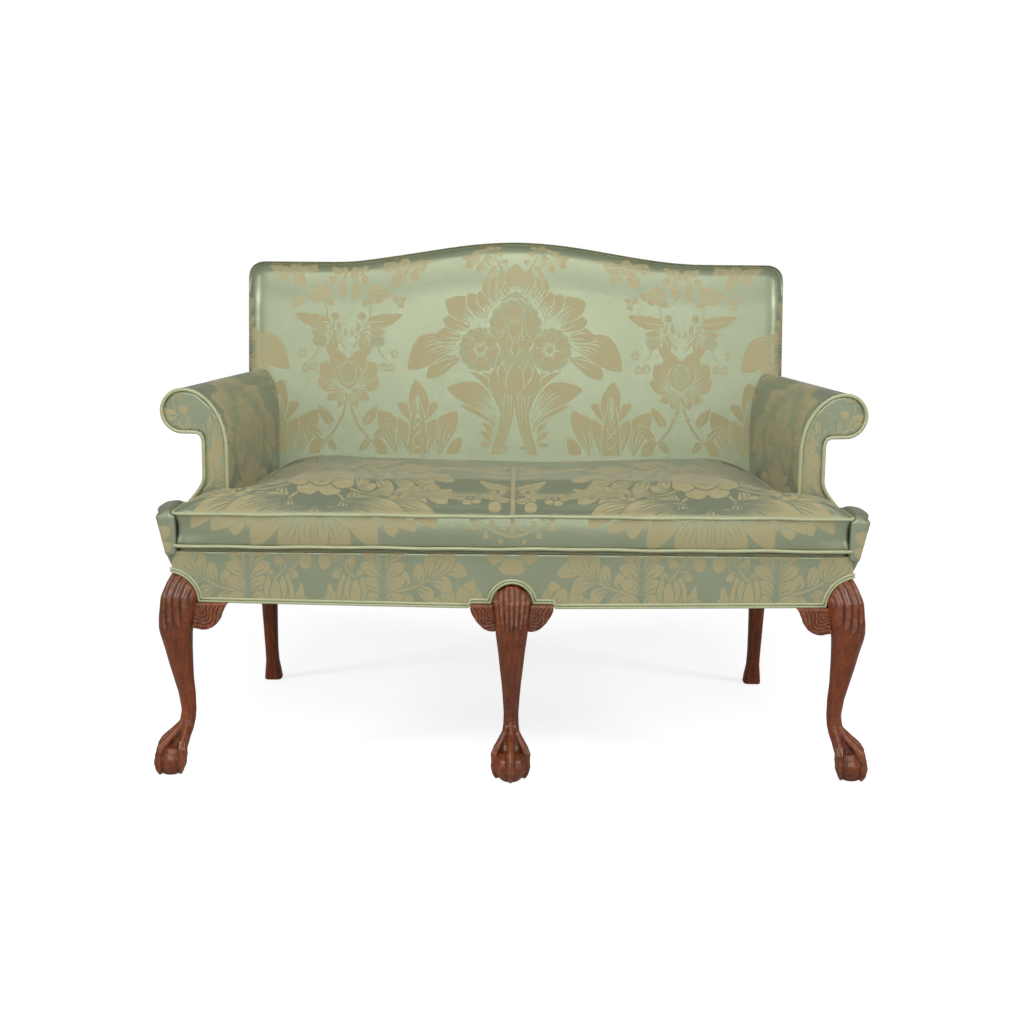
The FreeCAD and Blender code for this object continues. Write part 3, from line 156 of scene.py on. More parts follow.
def refine(piece, keep):
    """Subdivide the faces whose middles and normals pass the test."""
    faces = piece.data.polygons
    chosen = keep(vectors(faces, "center"), vectors(faces, "normal"))
    select_only(piece)
    bpy.ops.object.mode_set(mode="EDIT")
    bpy.ops.mesh.select_mode(type="FACE")
    bpy.ops.mesh.select_all(action="DESELECT")
    bpy.ops.object.mode_set(mode="OBJECT")
    piece.data.polygons.foreach_set("select", chosen)
    bpy.ops.object.mode_set(mode="EDIT")
    bpy.ops.mesh.subdivide(number_cuts=1, smoothness=0.0)
    bpy.ops.mesh.select_all(action="DESELECT")
    bpy.ops.object.mode_set(mode="OBJECT")


def attribute(piece, name, values):
    layer = piece.data.attributes.new(name, "FLOAT", "POINT")
    layer.data.foreach_set("value", np.asarray(values, dtype=np.float32))


def finish_piece(piece, body, nodes, material):
    select_only(piece)
    bpy.ops.object.shade_smooth()
    piece.data.materials.clear()
    piece.data.materials.append(material)
    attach(piece, body)
    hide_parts(*nodes)
    return piece


def steps(low, high, value):
    """Smooth rise from 0 at low to 1 at high."""
    share = np.clip((value - low) / (high - low), 0.0, 1.0)
    return share * share * (3 - 2 * share)


def ripple(points, scale, seed):
    """Soft, repeatable unevenness between -1 and 1."""
    x, y, z = (points * scale).T
    return (np.sin(x * 1.7 + 2.1 * np.sin(y * 1.3 + seed) + seed)
            + np.sin(y * 2.3 + 1.7 * np.sin(z * 1.9 + seed * 2))
            + np.sin(z * 1.9 + 1.4 * np.sin(x * 2.7 + seed * 3))) / 3


# -------- the woven pattern

class Cloth:
    """Flat figure of a damask in millimetres: depth inside the figure, negative on the ground."""

    origin = (0.0, 0.0)

    def __init__(self, across, up):
        self.x = across
        self.y = up
        self.depth = np.full(across.shape, -BARE)
        self.lace = np.zeros(across.shape)

    def at(self, x, y):
        return self.origin[0] + x, self.origin[1] + y

    def near(self, x0, x1, y0, y1, margin=10.0):
        x0, x1 = min(x0, x1), max(x0, x1)
        y0, y1 = min(y0, y1), max(y0, y1)
        return np.nonzero((self.x > x0 - margin) & (self.x < x1 + margin) & (self.y > y0 - margin)
                          & (self.y < y1 + margin))[0]

    def round_it(self, x, y, wide, high):
        """Points near an oval, and their places from its middle."""
        picked = self.near(x - wide, x + wide, y - high, y + high)
        return picked, self.x[picked] - x, self.y[picked] - y

    def bowed(self, foot, tip, bend, margin):
        """Points near a bowed line; their shares of its length, free and held to it; how far beside it they are."""
        (x0, y0), (x1, y1) = self.at(*foot), self.at(*tip)
        length = math.hypot(x1 - x0, y1 - y0)
        angle = math.atan2(y1 - y0, x1 - x0)
        picked = self.near(x0, x1, y0, y1, margin=margin + abs(bend) * length)
        c, s = math.cos(angle), math.sin(angle)
        dx, dy = self.x[picked] - x0, self.y[picked] - y0
        q = (dx * c + dy * s) / length
        inner = np.clip(q, 0.0, 1.0)
        return picked, q, inner, dy * c - dx * s - bend * length * 4 * inner * (1 - inner), length

    def lay(self, picked, value, gap, lace=0.0):
        """Lay a form over what is there, with a line of ground left round it."""
        under = np.minimum(self.depth[picked], -(value + gap))
        self.depth[picked] = np.maximum(under, value)
        around = value > -gap
        self.lace[picked] = np.where(value > 0, lace, np.where(around, 0.0, self.lace[picked]))

    def cut(self, picked, value, where=True):
        self.depth[picked] = np.minimum(self.depth[picked], np.where(where, -value, UNCUT))

    def leaf(self, foot, tip, width, bend=0.0, point=0.75, lobes=0, slits=0, rib=True, gap=2.4, lace=0.0):
        """Pointed leaf from foot to tip; bend bows it, lobes cut its edge, slits comb its foot."""
        picked, q, inner, side, length = self.bowed(foot, tip, bend, width * 0.7 + 8)
        swell = np.sin(math.pi * np.power(inner, point))
        half = width / 2 * np.power(np.maximum(swell, 0.0), 0.8)
        if lobes:
            half = half * (0.74 + 0.26 * np.abs(np.sin(math.pi * (lobes * inner - 0.35 * np.abs(side) / width))))
        outside = np.abs(q - inner) * length
        value = np.where(outside > 0, -(outside + np.abs(side)), half - np.abs(side))
        self.lay(picked, value, gap, lace)
        if rib:
            line = 1.5 * (1 - inner) + 0.25 - np.abs(side)
            self.cut(picked, line, (inner > 0.02) & (inner < 0.8))
        for k in range(slits):
            for sign in (-1, 1):
                place = sign * (k + 0.6) / (slits + 0.4) * half
                reach = 0.70 - 0.10 * k
                taper = np.sin(math.pi * np.clip((inner - 0.04) / reach, 0, 1)) ** 0.7
                line = 1.9 * taper - np.abs(side - place) - 0.2
                self.cut(picked, line, (inner > 0) & (inner < reach))

    def disc(self, x, y, radius, squash=1.0, gap=2.4, lace=0.0, scallops=0):
        picked, dx, dy = self.round_it(*self.at(x, y), radius, radius * squash)
        dy = dy / squash
        reach = radius
        if scallops:
            reach = radius * (0.9 + 0.1 * np.abs(np.sin(scallops * np.arctan2(dy, dx) / 2)))
        self.lay(picked, reach - np.hypot(dx, dy), gap, lace)

    def blossom(self, x, y, radius, petals, turn=0.0, heart=0.26, gap=1.8):
        """Open flower: rounded petals round a heart."""
        picked, dx, dy = self.round_it(*self.at(x, y), radius, radius)
        away = np.hypot(dx, dy)
        turned = petals * (np.arctan2(dy, dx) - turn) / 2
        edge = radius * (0.72 + 0.28 * np.sqrt(np.abs(np.cos(turned))))
        self.lay(picked, edge - away, gap)
        between = 1.5 - away * np.abs(np.cos(turned)) * 2 / petals
        self.cut(picked, between, (away > radius * (heart + 0.1)) & (away < radius * 0.9))
        self.cut(picked, 1.2 - np.abs(away - radius * heart))

    def stem(self, foot, tip, bend, thick_foot, thick_tip, gap=1.6):
        picked, q, inner, side, length = self.bowed(foot, tip, bend, 12)
        half = (thick_foot + (thick_tip - thick_foot) * inner) / 2
        self.lay(picked, half - np.hypot(side, (q - inner) * length), gap)

    def scales(self, x, y, wide, high, pitch):
        """Overlapping round scales inside an oval, as on a cone."""
        self.disc(x, y, wide, squash=high / wide)
        picked, dx, dy = self.round_it(*self.at(x, y), wide, high)
        rise = pitch * 0.62
        row = np.floor(dy / rise)
        odd = np.mod(row, 2) * 0.5
        column = np.round(dx / pitch - odd) + odd
        away = np.hypot(dx - column * pitch, dy - (row + 0.9) * rise)
        self.cut(picked, 1.1 - np.abs(away - pitch * 0.46), np.hypot(dx / wide, dy / high) < 0.88)

    def petals(self, rows, x=0, y=0, point=1.5, gap=3.0):
        """Leaves from rows of foot, tip, width, bow and number of slits, placed from x, y."""
        for foot, tip, width, bend, slits in rows:
            self.leaf((x + foot[0], y + foot[1]), (x + tip[0], y + tip[1]), width, bend=bend, slits=slits,
                      point=point, rib=False, gap=gap)


def acanthus(cloth, foot, tip, width, bend, count):
    """Scrolled leaf: pairs of curling lobes along a bowed rib, the tip last."""
    length = math.hypot(tip[0] - foot[0], tip[1] - foot[1])
    angle = math.atan2(tip[1] - foot[1], tip[0] - foot[0])

    def on_rib(q):
        off = bend * length * 4 * q * (1 - q)
        return (foot[0] + q * length * math.cos(angle) - off * math.sin(angle),
                foot[1] + q * length * math.sin(angle) + off * math.cos(angle))

    for k in range(count):
        q = 0.08 + 0.72 * k / count
        x, y = on_rib(q)
        lean = angle + math.atan(4 * bend * (1 - 2 * q))
        reach = width * (0.62 + 0.55 * q * (1.6 - q))
        for side in (1, -1):
            turn = lean + side * (1.05 - 0.45 * q)
            cloth.leaf((x, y), (x + reach * math.cos(turn), y + reach * math.sin(turn)), reach * 0.52,
                       bend=-0.14 * side, slits=1, point=1.6, rib=False, gap=2.6)
    middle = on_rib(0.5)
    cloth.leaf(middle, tip, width * 0.5, bend=bend * 0.6, slits=1, point=1.3, rib=False, gap=2.6)
    cloth.stem(foot, middle, bend * 0.5, 5.5, 3.0, gap=2.2)


def flower(cloth, x, y, reach, count, turn, heart):
    """Open flower of cut petals round a rayed heart."""
    for k in range(count):
        angle = turn + 2 * math.pi * k / count
        cloth.leaf((x + 0.2 * reach * math.cos(angle), y + 0.2 * reach * math.sin(angle)),
                   (x + reach * math.cos(angle), y + reach * math.sin(angle)), reach * 0.74, point=1.5, lobes=2,
                   rib=False, gap=2.0)
    cloth.blossom(x, y, heart, 14, heart=0.6, gap=2.4)


def bouquet(cloth):
    """Great bouquet of leaves round three flowers, on a sheaf of stems: its right half, mirrored by the fold."""
    for k in range(4):
        cloth.stem((46 + 7 * k, -296), (29 + 5 * k, -246), 0.05, 7.0, 5.0)
        cloth.stem((28 + 6 * k, -250), (3 + 8.5 * k, -124), 0.06, 4.4, 5.0)
    cloth.petals([((52, -238), (77, -217), 13, 0.1, 0), ((50, -224), (73, -195), 12, 0.1, 0),
                  ((52, -246), (76, -248), 11, 0.1, 0), ((28, -250), (12, -252), 9, 0.1, 0)], point=1.0)
    cloth.petals([((41, -222), (119, -158), 36, 0.24, 1), ((37, -200), (151, -119), 54, 0.17, 3),
                  ((110, -52), (197, -98), 40, 0.12, 1), ((104, -30), (240, -78), 66, 0.20, 3),
                  ((110, -14), (181, -6), 33, 0.12, 1), ((94, 2), (161, 33), 38, 0.12, 1),
                  ((76, 14), (157, 75), 54, 0.10, 3), ((62, 22), (106, 90), 42, 0.08, 2),
                  ((46, 46), (82, 95), 38, 0.05, 2), ((40, 66), (66, 128), 32, -0.04, 1),
                  ((32, 70), (48, 130), 28, -0.02, 1), ((26, 74), (31, 130), 26, 0.0, 1),
                  ((12, 78), (33, 142), 32, 0.0, 1), ((0, 72), (0, 158), 46, 0.0, 3)])
    cloth.petals([((32, -172), (104, -82), 17, 0.16, 0), ((28, -156), (74, -84), 13, 0.20, 0)], point=1.0)
    cloth.disc(77, -33, 50, scallops=15, lace=1.0, gap=4.0)
    cloth.leaf((0, -40), (0, 96), 104, point=1.25, rib=False, lace=1.0, gap=4.0)
    cloth.disc(0, 20, 60, scallops=16, lace=1.0, gap=4.0)
    cloth.leaf((0, -118), (30, -30), 56, point=0.9, rib=False, lace=1.0)
    flower(cloth, 0, 12, 52, 5, math.pi / 2, 27)
    flower(cloth, 77, -33, 39, 6, 0.4, 15)
    cloth.petals([((4, -132), (46, -74), 32, -0.26, 0), ((15, -116), (29, -64), 19, -0.10, 0)], point=1.0)
    cloth.leaf((0, -134), (0, -62), 38, point=0.7, rib=False, gap=3.0)
    cloth.leaf((0, -46), (0, -12), 15, point=1.0, rib=False)


def spray(cloth):
    """Rounded flower under a pair of nodding sprigs: its left half, mirrored by the fold."""
    cloth.stem((-4, -150), (-84, -262), 0.12, 5.0, 4.0)
    cloth.leaf((-36, -204), (-66, -160), 24, lobes=3)
    cloth.leaf((-60, -232), (-92, -200), 20, lobes=3)
    cloth.disc(-16, -188, 5)
    cloth.leaf((-46, -236), (-26, -262), 16)
    cloth.leaf((-6, -128), (-48, -146), 30, lobes=2, slits=1)
    cloth.leaf((-6, -130), (-22, -164), 22, slits=1)
    for tip, width in [((-70, -104), 40), ((-62, -66), 44), ((-30, -34), 40)]:
        cloth.leaf((-8, -118), tip, width, point=1.5, slits=2, rib=False)
    cloth.leaf((0, -124), (0, -54), 58, point=1.0, rib=False)
    cloth.disc(0, -88, 17, squash=1.4, lace=1.0)
    cloth.stem((-10, -30), (-50, 76), 0.10, 3.6, 2.6)
    cloth.stem((-16, -10), (-62, 10), -0.16, 3.4, 2.4)
    cloth.leaf((-52, 8), (-40, -52), 30, bend=0.12, slits=1, point=1.1)
    cloth.disc(-64, -16, 17, squash=0.9, lace=1.0, scallops=9)
    cloth.leaf((-48, 14), (-84, 4), 18, bend=0.14)
    cloth.leaf((-40, 26), (-122, 44), 32, lobes=4, bend=0.06)
    cloth.disc(-30, 38, 8.5)
    cloth.stem((-34, 12), (-30, 32), 0.1, 2.6, 2.2)
    cloth.leaf((-20, -2), (-22, 28), 10)
    cloth.leaf((-6, -8), (-8, 12), 8)
    cloth.stem((-66, -30), (-88, -60), 0.1, 2.6, 2.0)
    for dx, dy in [(-104, -44), (-96, -76), (-78, -74)]:
        cloth.blossom(dx, dy, 10, 5, turn=0.4, gap=2.0)
    cloth.leaf((-16, 122), (-14, 74), 20, lobes=3)
    cloth.blossom(-60, 88, 23, 5, turn=0.3)
    cloth.leaf((-74, 84), (-96, 92), 22, lobes=2)
    cloth.leaf((-52, 76), (-30, 64), 16)
    cloth.stem((-16, 122), (-44, 112), 0.3, 3.0, 3.0)
    cloth.disc(-36, 122, 9, scallops=6)
    cloth.leaf((-14, 120), (-12, 164), 26, lobes=3)
    cloth.leaf((-20, 130), (-38, 168), 22, lobes=3)
    for tip, width in [((-130, 82), 14), ((-126, 60), 12), ((-104, 88), 12)]:
        cloth.leaf((-108, 66), tip, width)


def plume(cloth):
    """Cluster of upright leaves round a pod, between the bouquet and the spray."""
    for side in (1, -1):
        cloth.petals([((side * 76, -30), (side * 98, 40), 26, side * 0.10, 0),
                      ((side * 50, -6), (side * 88, 98), 48, side * 0.12, 2),
                      ((side * 16, -8), (side * 42, 80), 33, side * 0.08, 1),
                      ((side * 8, 66), (side * 45, 116), 25, side * 0.10, 0)], point=1.3)
    cloth.leaf((0, 56), (6, 166), 44, bend=0.05, rib=False, point=1.15, gap=3.0)
    cloth.leaf((0, -60), (0, 130), 40, rib=False, point=0.8, gap=3.0)
    x, y = cloth.origin
    line = cloth.near(x - 6, x + 6, y + 60, y + 136)
    share = np.clip((cloth.y[line] - y - 60) / 76, 0, 1)
    cloth.cut(line, 4.5 * np.sin(math.pi * share ** 0.8) - np.abs(cloth.x[line] - x))
    for height, radius in ((96, 3.2), (76, 5.0), (56, 7.0), (30, 10.0), (2, 12.0)):
        cloth.disc(0, height, radius, gap=3.0)


def garland(cloth):
    """Swag of small flowers and leaves."""
    for foot, tip, width in [((-10, 0), (-60, 22), 30), ((10, -4), (52, 26), 30), ((4, -10), (26, -48), 28),
                             ((-12, -10), (-34, -34), 24)]:
        cloth.leaf(foot, tip, width, lobes=3)
    cloth.leaf((0, 6), (6, 44), 26, lobes=2)
    cloth.blossom(-32, 6, 19, 5, turn=0.4)
    cloth.blossom(4, 2, 20, 6)
    cloth.blossom(38, 4, 17, 5, turn=0.9)


def crown_leaves(cloth):
    """Spread of acanthus over the bouquet."""
    acanthus(cloth, (29, -64), (122, -20), 42, 0.10, 3)
    acanthus(cloth, (26, -58), (62, 30), 40, -0.06, 3)
    cloth.stem((22, -84), (29, -60), 0.0, 3.0, 4.0)


def folded(across, shift=0.0):
    """Place across in one half of the repeat, which the other half mirrors."""
    share = np.mod((across - shift) / HALF_REPEAT, 2.0)
    return (1 - np.abs(1 - share)) * HALF_REPEAT


def back_figure(across, up):
    """Figure of the repeat, with the bouquet on the line across = 0 and its flower at up = 0."""
    cloth = Cloth(folded(across), np.mod(up + 268, REPEAT_HEIGHT) - 268)
    for motif, x, y in ((crown_leaves, 0, 196), (garland, 248, 150), (plume, 217, -268), (bouquet, 0, 0),
                        (spray, HALF_REPEAT, 0)):
        cloth.origin = (x, y)
        motif(cloth)
    return cloth


def rail_figure(across, up):
    """Lower part of the repeat: great acanthus either side of a pair of tulips, up = 0 at the lower edge."""
    cloth = Cloth(folded(across, HALF_REPEAT), up)
    acanthus(cloth, (160, -50), (276, 30), 62, -0.16, 4)
    acanthus(cloth, (140, 30), (262, 118), 62, -0.16, 4)
    acanthus(cloth, (98, 40), (40, 132), 44, 0.14, 3)
    acanthus(cloth, (127, -50), (128, 170), 62, 0.0, 6)
    slot = cloth.near(127, 129, -30, 150)
    cloth.cut(slot, 3.2 - np.abs(cloth.x[slot] - 127 - 0.02 * cloth.y[slot]))
    cloth.stem((48, -16), (34, 84), -0.14, 3.4, 2.6)
    cloth.leaf((47, -6), (26, 46), 22, lobes=3, bend=0.1)
    cloth.leaf((48, 6), (54, 66), 20, lobes=3)
    cloth.leaf((44, 0), (16, 20), 16, lobes=3)
    cloth.petals([((-4, 2), (-12, 56), 17, 0.1, 0), ((4, 2), (12, 56), 17, -0.1, 0), ((0, 0), (0, 50), 20, 0, 0)],
                 76, 4, point=0.8)
    cloth.disc(18, 88, 12, squash=1.3)
    acanthus(cloth, (356, -40), (272, 40), 56, 0.12, 4)
    cloth.leaf((330, -20), (346, 40), 26, lobes=3, bend=-0.1)
    flower(cloth, HALF_REPEAT, 112, 50, 6, 0.3, 16)
    return cloth


def seat_figure(across, back):
    """Figure on the seat: cone of scales among scrolled leaves, a sprig between; back = 0 at the front seam."""
    cloth = Cloth(folded(across, HALF_REPEAT), np.mod(back + 90, 640) - 90)
    for foot, tip, width, bend in [((20, 250), (96, 400), 66, -0.08), ((34, 210), (196, 330), 72, -0.14),
                                   ((44, 150), (246, 216), 76, -0.18), ((44, 100), (256, 112), 74, -0.20),
                                   ((40, 62), (206, 30), 66, -0.22)]:
        acanthus(cloth, foot, tip, width, bend, 5)
    cloth.petals([((120, 34), (232, -26), 44, 0.16, 2), ((40, 40), (178, -30), 50, 0.16, 3),
                  ((22, 24), (118, -62), 50, 0.12, 3), ((10, 12), (56, -84), 46, 0.08, 2)], point=1.4)
    cloth.leaf((0, 24), (0, -88), 54, point=1.2, slits=2)
    for dx, dy, radius in ((20, 84, 24), (42, 112, 24), (46, 158, 26), (36, 204, 24), (14, 238, 24)):
        cloth.disc(dx, dy, radius, squash=1.1, scallops=5, gap=3.4)
    cloth.scales(0, 160, 34, 70, 15)
    cloth.petals([((10, 246), (44, 330), 34, -0.08, 1), ((0, 246), (0, 352), 44, 0, 2)])
    flower(cloth, 150, 70, 26, 6, 0.3, 10)
    for k in range(4):
        cloth.leaf((HALF_REPEAT - 4, 50 + 66 * k), (HALF_REPEAT - 66, 86 + 66 * k), 30, bend=0.1, lobes=4)
        flower(cloth, HALF_REPEAT - 30, 116 + 70 * k, 24, 5, 0.4, 8)
    cloth.stem((HALF_REPEAT - 2, -40), (HALF_REPEAT - 2, 330), 0.0, 4.0, 4.0)
    cloth.disc(HALF_REPEAT - 34, 30, 12, squash=1.5)
    acanthus(cloth, (HALF_REPEAT - 2, -40), (HALF_REPEAT - 84, 10), 30, 0.1, 3)
    for dx, dy in [(292, 60), (296, 280), (250, 410), (120, 450), (34, 480)]:
        flower(cloth, dx, dy, 27, 6, 0.2, 9)
        cloth.leaf((dx - 20, dy), (dx - 80, dy + 30), 34, lobes=4)
        cloth.leaf((dx + 18, dy), (dx + 66, dy + 34), 30, lobes=4)
    return cloth


def weave_onto(piece, across, up, figure):
    """Store the figure and the run of the threads on the piece's points."""
    cloth = figure(across, up)
    attribute(piece, "figure", cloth.depth)
    attribute(piece, "lace", cloth.lace)
    attribute(piece, "weft", across * MM)
    attribute(piece, "warp", up * MM)


# -------- materials

def wire(tree, node, values):
    """Give each named input a number or a colour, or a link from another node."""
    for name, value in dict(values).items():
        if isinstance(value, bpy.types.NodeSocket):
            tree.links.new(value, node.inputs[name])
        else:
            node.inputs[name].default_value = value


def made(tree, kind, values=(), out=0, **settings):
    """One output of a new shader node, its inputs set or linked."""
    node = tree.nodes.new("ShaderNode" + kind)
    for name, value in settings.items():
        setattr(node, name, value)
    wire(tree, node, values)
    return node.outputs[out]


def maths(tree, kind, *values, clamp=False):
    return made(tree, "Math", enumerate(values), operation=kind, use_clamp=clamp)


def times(tree, a, b, clamp=False):
    return maths(tree, "MULTIPLY", a, b, clamp=clamp)


def plus(tree, a, b):
    return maths(tree, "ADD", a, b)


def ranged(tree, value, low, high, out_low=0.0, out_high=1.0):
    return made(tree, "MapRange", {"From Min": low, "From Max": high, "To Min": out_low, "To Max": out_high,
                                   "Value": value}, "Result")


def blended(tree, share, a, b):
    return made(tree, "Mix", {0: share, 6: a, 7: b}, 2, data_type="RGBA")


def colour(*levels):
    """A colour written as it looks on a screen, red, green and blue from 0 to 255."""
    shares = [level / 255 for level in levels]
    return (*(share / 12.92 if share <= 0.04045 else ((share + 0.055) / 1.055) ** 2.4 for share in shares), 1.0)


def noise(tree, place, scale, detail=3.0, rough=0.5, stretch=None):
    if stretch:
        place = made(tree, "Mapping", {"Scale": stretch, "Vector": place}, "Vector")
    return made(tree, "TexNoise", {"Scale": scale, "Detail": detail, "Roughness": rough, "Vector": place}, "Fac")


def read(tree, name):
    return made(tree, "Attribute", out="Fac", attribute_name=name)


def object_place(tree):
    return made(tree, "TexCoord", out="Object")


def bump(tree, height, strength, distance):
    return made(tree, "Bump", {"Strength": strength, "Distance": distance, "Height": height}, "Normal")


def new_material(name, roughness=0.6, metallic=0.0):
    material = bpy.data.materials.new(name)
    material.use_nodes = True
    tree = material.node_tree
    shader = next(node for node in tree.nodes if node.type == "BSDF_PRINCIPLED")
    wire(tree, shader, {"Roughness": roughness, "Metallic": metallic})
    return material, tree, shader


def make_thread_group():
    """Fine woven threads along two runs: ribs, slubs and a slow unevenness."""
    group = bpy.data.node_groups.new("woven_threads", "ShaderNodeTree")
    for end, labels in (("INPUT", ("Weft", "Warp", "Pitch")), ("OUTPUT", ("Ribs", "Slubs", "Cloud"))):
        for label in labels:
            group.interface.new_socket(name=label, in_out=end, socket_type="NodeSocketFloat")
    weft, warp, pitch = list(group.nodes.new("NodeGroupInput").outputs)[:3]
    turns = maths(group, "DIVIDE", FULL_TURN, pitch)
    rib = maths(group, "SINE", times(group, warp, turns))
    floats = maths(group, "SINE", times(group, weft, times(group, turns, 0.8)))
    place = made(group, "CombineXYZ", {0: weft, 1: warp})
    wire(group, group.nodes.new("NodeGroupOutput"), {
        "Ribs": plus(group, plus(group, times(group, rib, 0.32), times(group, floats, 0.18)), 0.5),
        "Slubs": noise(group, place, 60.0, 4.0, 0.6, (0.35, 9.0, 1.0)),
        "Cloud": noise(group, place, 9.0, 2.0)})
    return group


def make_damask(threads):
    """Straw figure on a celadon ground, from the figure stored on the points; lace is half figure, half ground."""
    material, tree, shader = new_material("celadon_damask")
    group = tree.nodes.new("ShaderNodeGroup")
    group.node_tree = threads
    wire(tree, group, {"Pitch": THREAD_PITCH, "Weft": read(tree, "weft"), "Warp": read(tree, "warp")})
    ribs, slubs, cloud = (group.outputs[i] for i in range(3))
    figure = ranged(tree, read(tree, "figure"), -0.35, 0.35)
    lace_dots = ranged(tree, ribs, 0.42, 0.58, 0.25, 1.0)
    lace = times(tree, read(tree, "lace"), 0.85)
    mask = times(tree, figure, maths(tree, "SUBTRACT", 1.0, times(tree, lace, lace_dots)), True)
    ground = blended(tree, cloud, colour(138, 147, 119), colour(153, 161, 135))
    straw = blended(tree, slubs, colour(152, 143, 102), colour(171, 162, 124))
    cloth = blended(tree, mask, ground, straw)
    relief = plus(tree, plus(tree, times(tree, mask, 1.2), times(tree, ribs, 0.5)), times(tree, slubs, 0.6))
    wire(tree, shader, {
        "Base Color": blended(tree, times(tree, ribs, 0.16), cloth, colour(120, 122, 84)),
        "Metallic": ranged(tree, mask, 0.0, 1.0, 0.60, 0.12),
        "Roughness": plus(tree, ranged(tree, mask, 0.0, 1.0, 0.36, 0.55), times(tree, slubs, 0.06)),
        "Normal": bump(tree, relief, 0.35, 0.0003), "Sheen Weight": 0.12, "Sheen Roughness": 0.4})
    return material


def make_piping(name, light, dark):
    material, tree, shader = new_material(name, 0.5, 0.15)
    place = object_place(tree)
    mottled = noise(tree, place, 900.0, 2.0)
    cloth = blended(tree, noise(tree, place, 30.0, 2.0), light, dark)
    wire(tree, shader, {
        "Base Color": blended(tree, times(tree, mottled, 0.3), cloth, colour(130, 130, 92)),
        "Normal": bump(tree, mottled, 0.3, 0.0003), "Sheen Weight": 0.15})
    return material


def make_wood(name, pale, mid, dark, gloss):
    """Polished wood: long grain along Z, painted shade darkening the hollows, and rubbed pale on the edges."""
    material, tree, shader = new_material(name)
    place = object_place(tree)
    grain = noise(tree, place, 16.0, 6.0, 0.62, (9.0, 9.0, 0.8))
    pores = noise(tree, place, 160.0, 3.0, 0.7, (6.0, 6.0, 0.35))
    figure = noise(tree, place, 7.0, 2.0, 0.5, (1.5, 1.5, 0.5))
    # hollow carries painted shade: how deep each point lies in the carving's hollows
    hollow = read(tree, "hollow")
    patchy = times(tree, read(tree, "worn"), ranged(tree, noise(tree, place, 120.0, 4.0), 0.35, 0.7), True)
    base = blended(tree, ranged(tree, grain, 0.32, 0.68), mid, pale)
    for share, tint in ((times(tree, ranged(tree, pores, 0.52, 0.72), 0.55), dark),
                        (times(tree, ranged(tree, figure, 0.45, 0.75), 0.4), dark),
                        # painted shade: the carving's hollows darkened almost to black
                        (times(tree, hollow, 0.88, True), colour(22, 11, 7)),
                        (times(tree, patchy, 0.5), colour(176, 128, 98))):
        base = blended(tree, share, base, tint)
    relief = maths(tree, "SUBTRACT", 1.0, ranged(tree, pores, 0.5, 0.75))
    wire(tree, shader, {
        "Base Color": base, "Normal": bump(tree, relief, 0.25, 0.0004),
        "Roughness": plus(tree, plus(tree, times(tree, pores, 0.16), gloss - 0.06), times(tree, hollow, 0.3)),
        "Specular IOR Level": 0.3, "Coat Weight": 0.24, "Coat Roughness": 0.18})
    return material


def make_plain_cloth(name, light, dark, pitch):
    """Plain woven cloth: threads crossing at a real pitch."""
    material, tree, shader = new_material(name, 0.85)
    place = object_place(tree)
    split = tree.nodes.new("ShaderNodeSeparateXYZ")
    wire(tree, split, {0: place})
    a, b = (maths(tree, "SINE", times(tree, run, FULL_TURN / pitch))
            for run in (split.outputs[0], plus(tree, split.outputs[1], split.outputs[2])))
    weave = ranged(tree, times(tree, a, b), -1.0, 1.0)
    base = blended(tree, noise(tree, place, 40.0, 3.0), light, dark)
    wire(tree, shader, {"Base Color": blended(tree, times(tree, weave, 0.45), base, dark),
                        "Normal": bump(tree, weave, 0.4, 0.0004)})
    return material


damask = make_damask(make_thread_group())
piping_cloth = make_piping("self_piping", colour(180, 183, 146), colour(164, 170, 132))
mahogany = make_wood("old_mahogany", colour(130, 61, 19), colour(91, 39, 12), colour(34, 13, 6), 0.34)
beech = make_wood("frame_beech", colour(206, 170, 122), colour(186, 146, 98), colour(150, 112, 72), 0.62)
webbing_cloth = make_plain_cloth("jute_webbing", colour(176, 146, 98), colour(112, 84, 50), 0.004)
hessian_cloth = make_plain_cloth("hessian", colour(180, 152, 106), colour(120, 94, 58), 0.0022)
black_cloth = make_plain_cloth("bottoming_cloth", colour(40, 39, 38), colour(18, 18, 18), 0.0012)
deck_cloth = make_plain_cloth("platform_cloth", colour(192, 192, 160), colour(150, 152, 120), 0.0012)
ticking_cloth = make_plain_cloth("ticking", colour(226, 222, 208), colour(188, 184, 170), 0.001)


# -------- upholstery

def covered(piece, nodes, body="frame"):
    finish_piece(piece, body, nodes, damask)


def back_plane(points):
    """Depth and height in the leaning plane of the back, in metres."""
    dy, dz = points[:, 1] - DECK_Y, points[:, 2] - DECK_Z
    depth = dy * math.cos(RAKE) - dz * math.sin(RAKE)
    height = dy * math.sin(RAKE) + dz * math.cos(RAKE)
    return depth, height


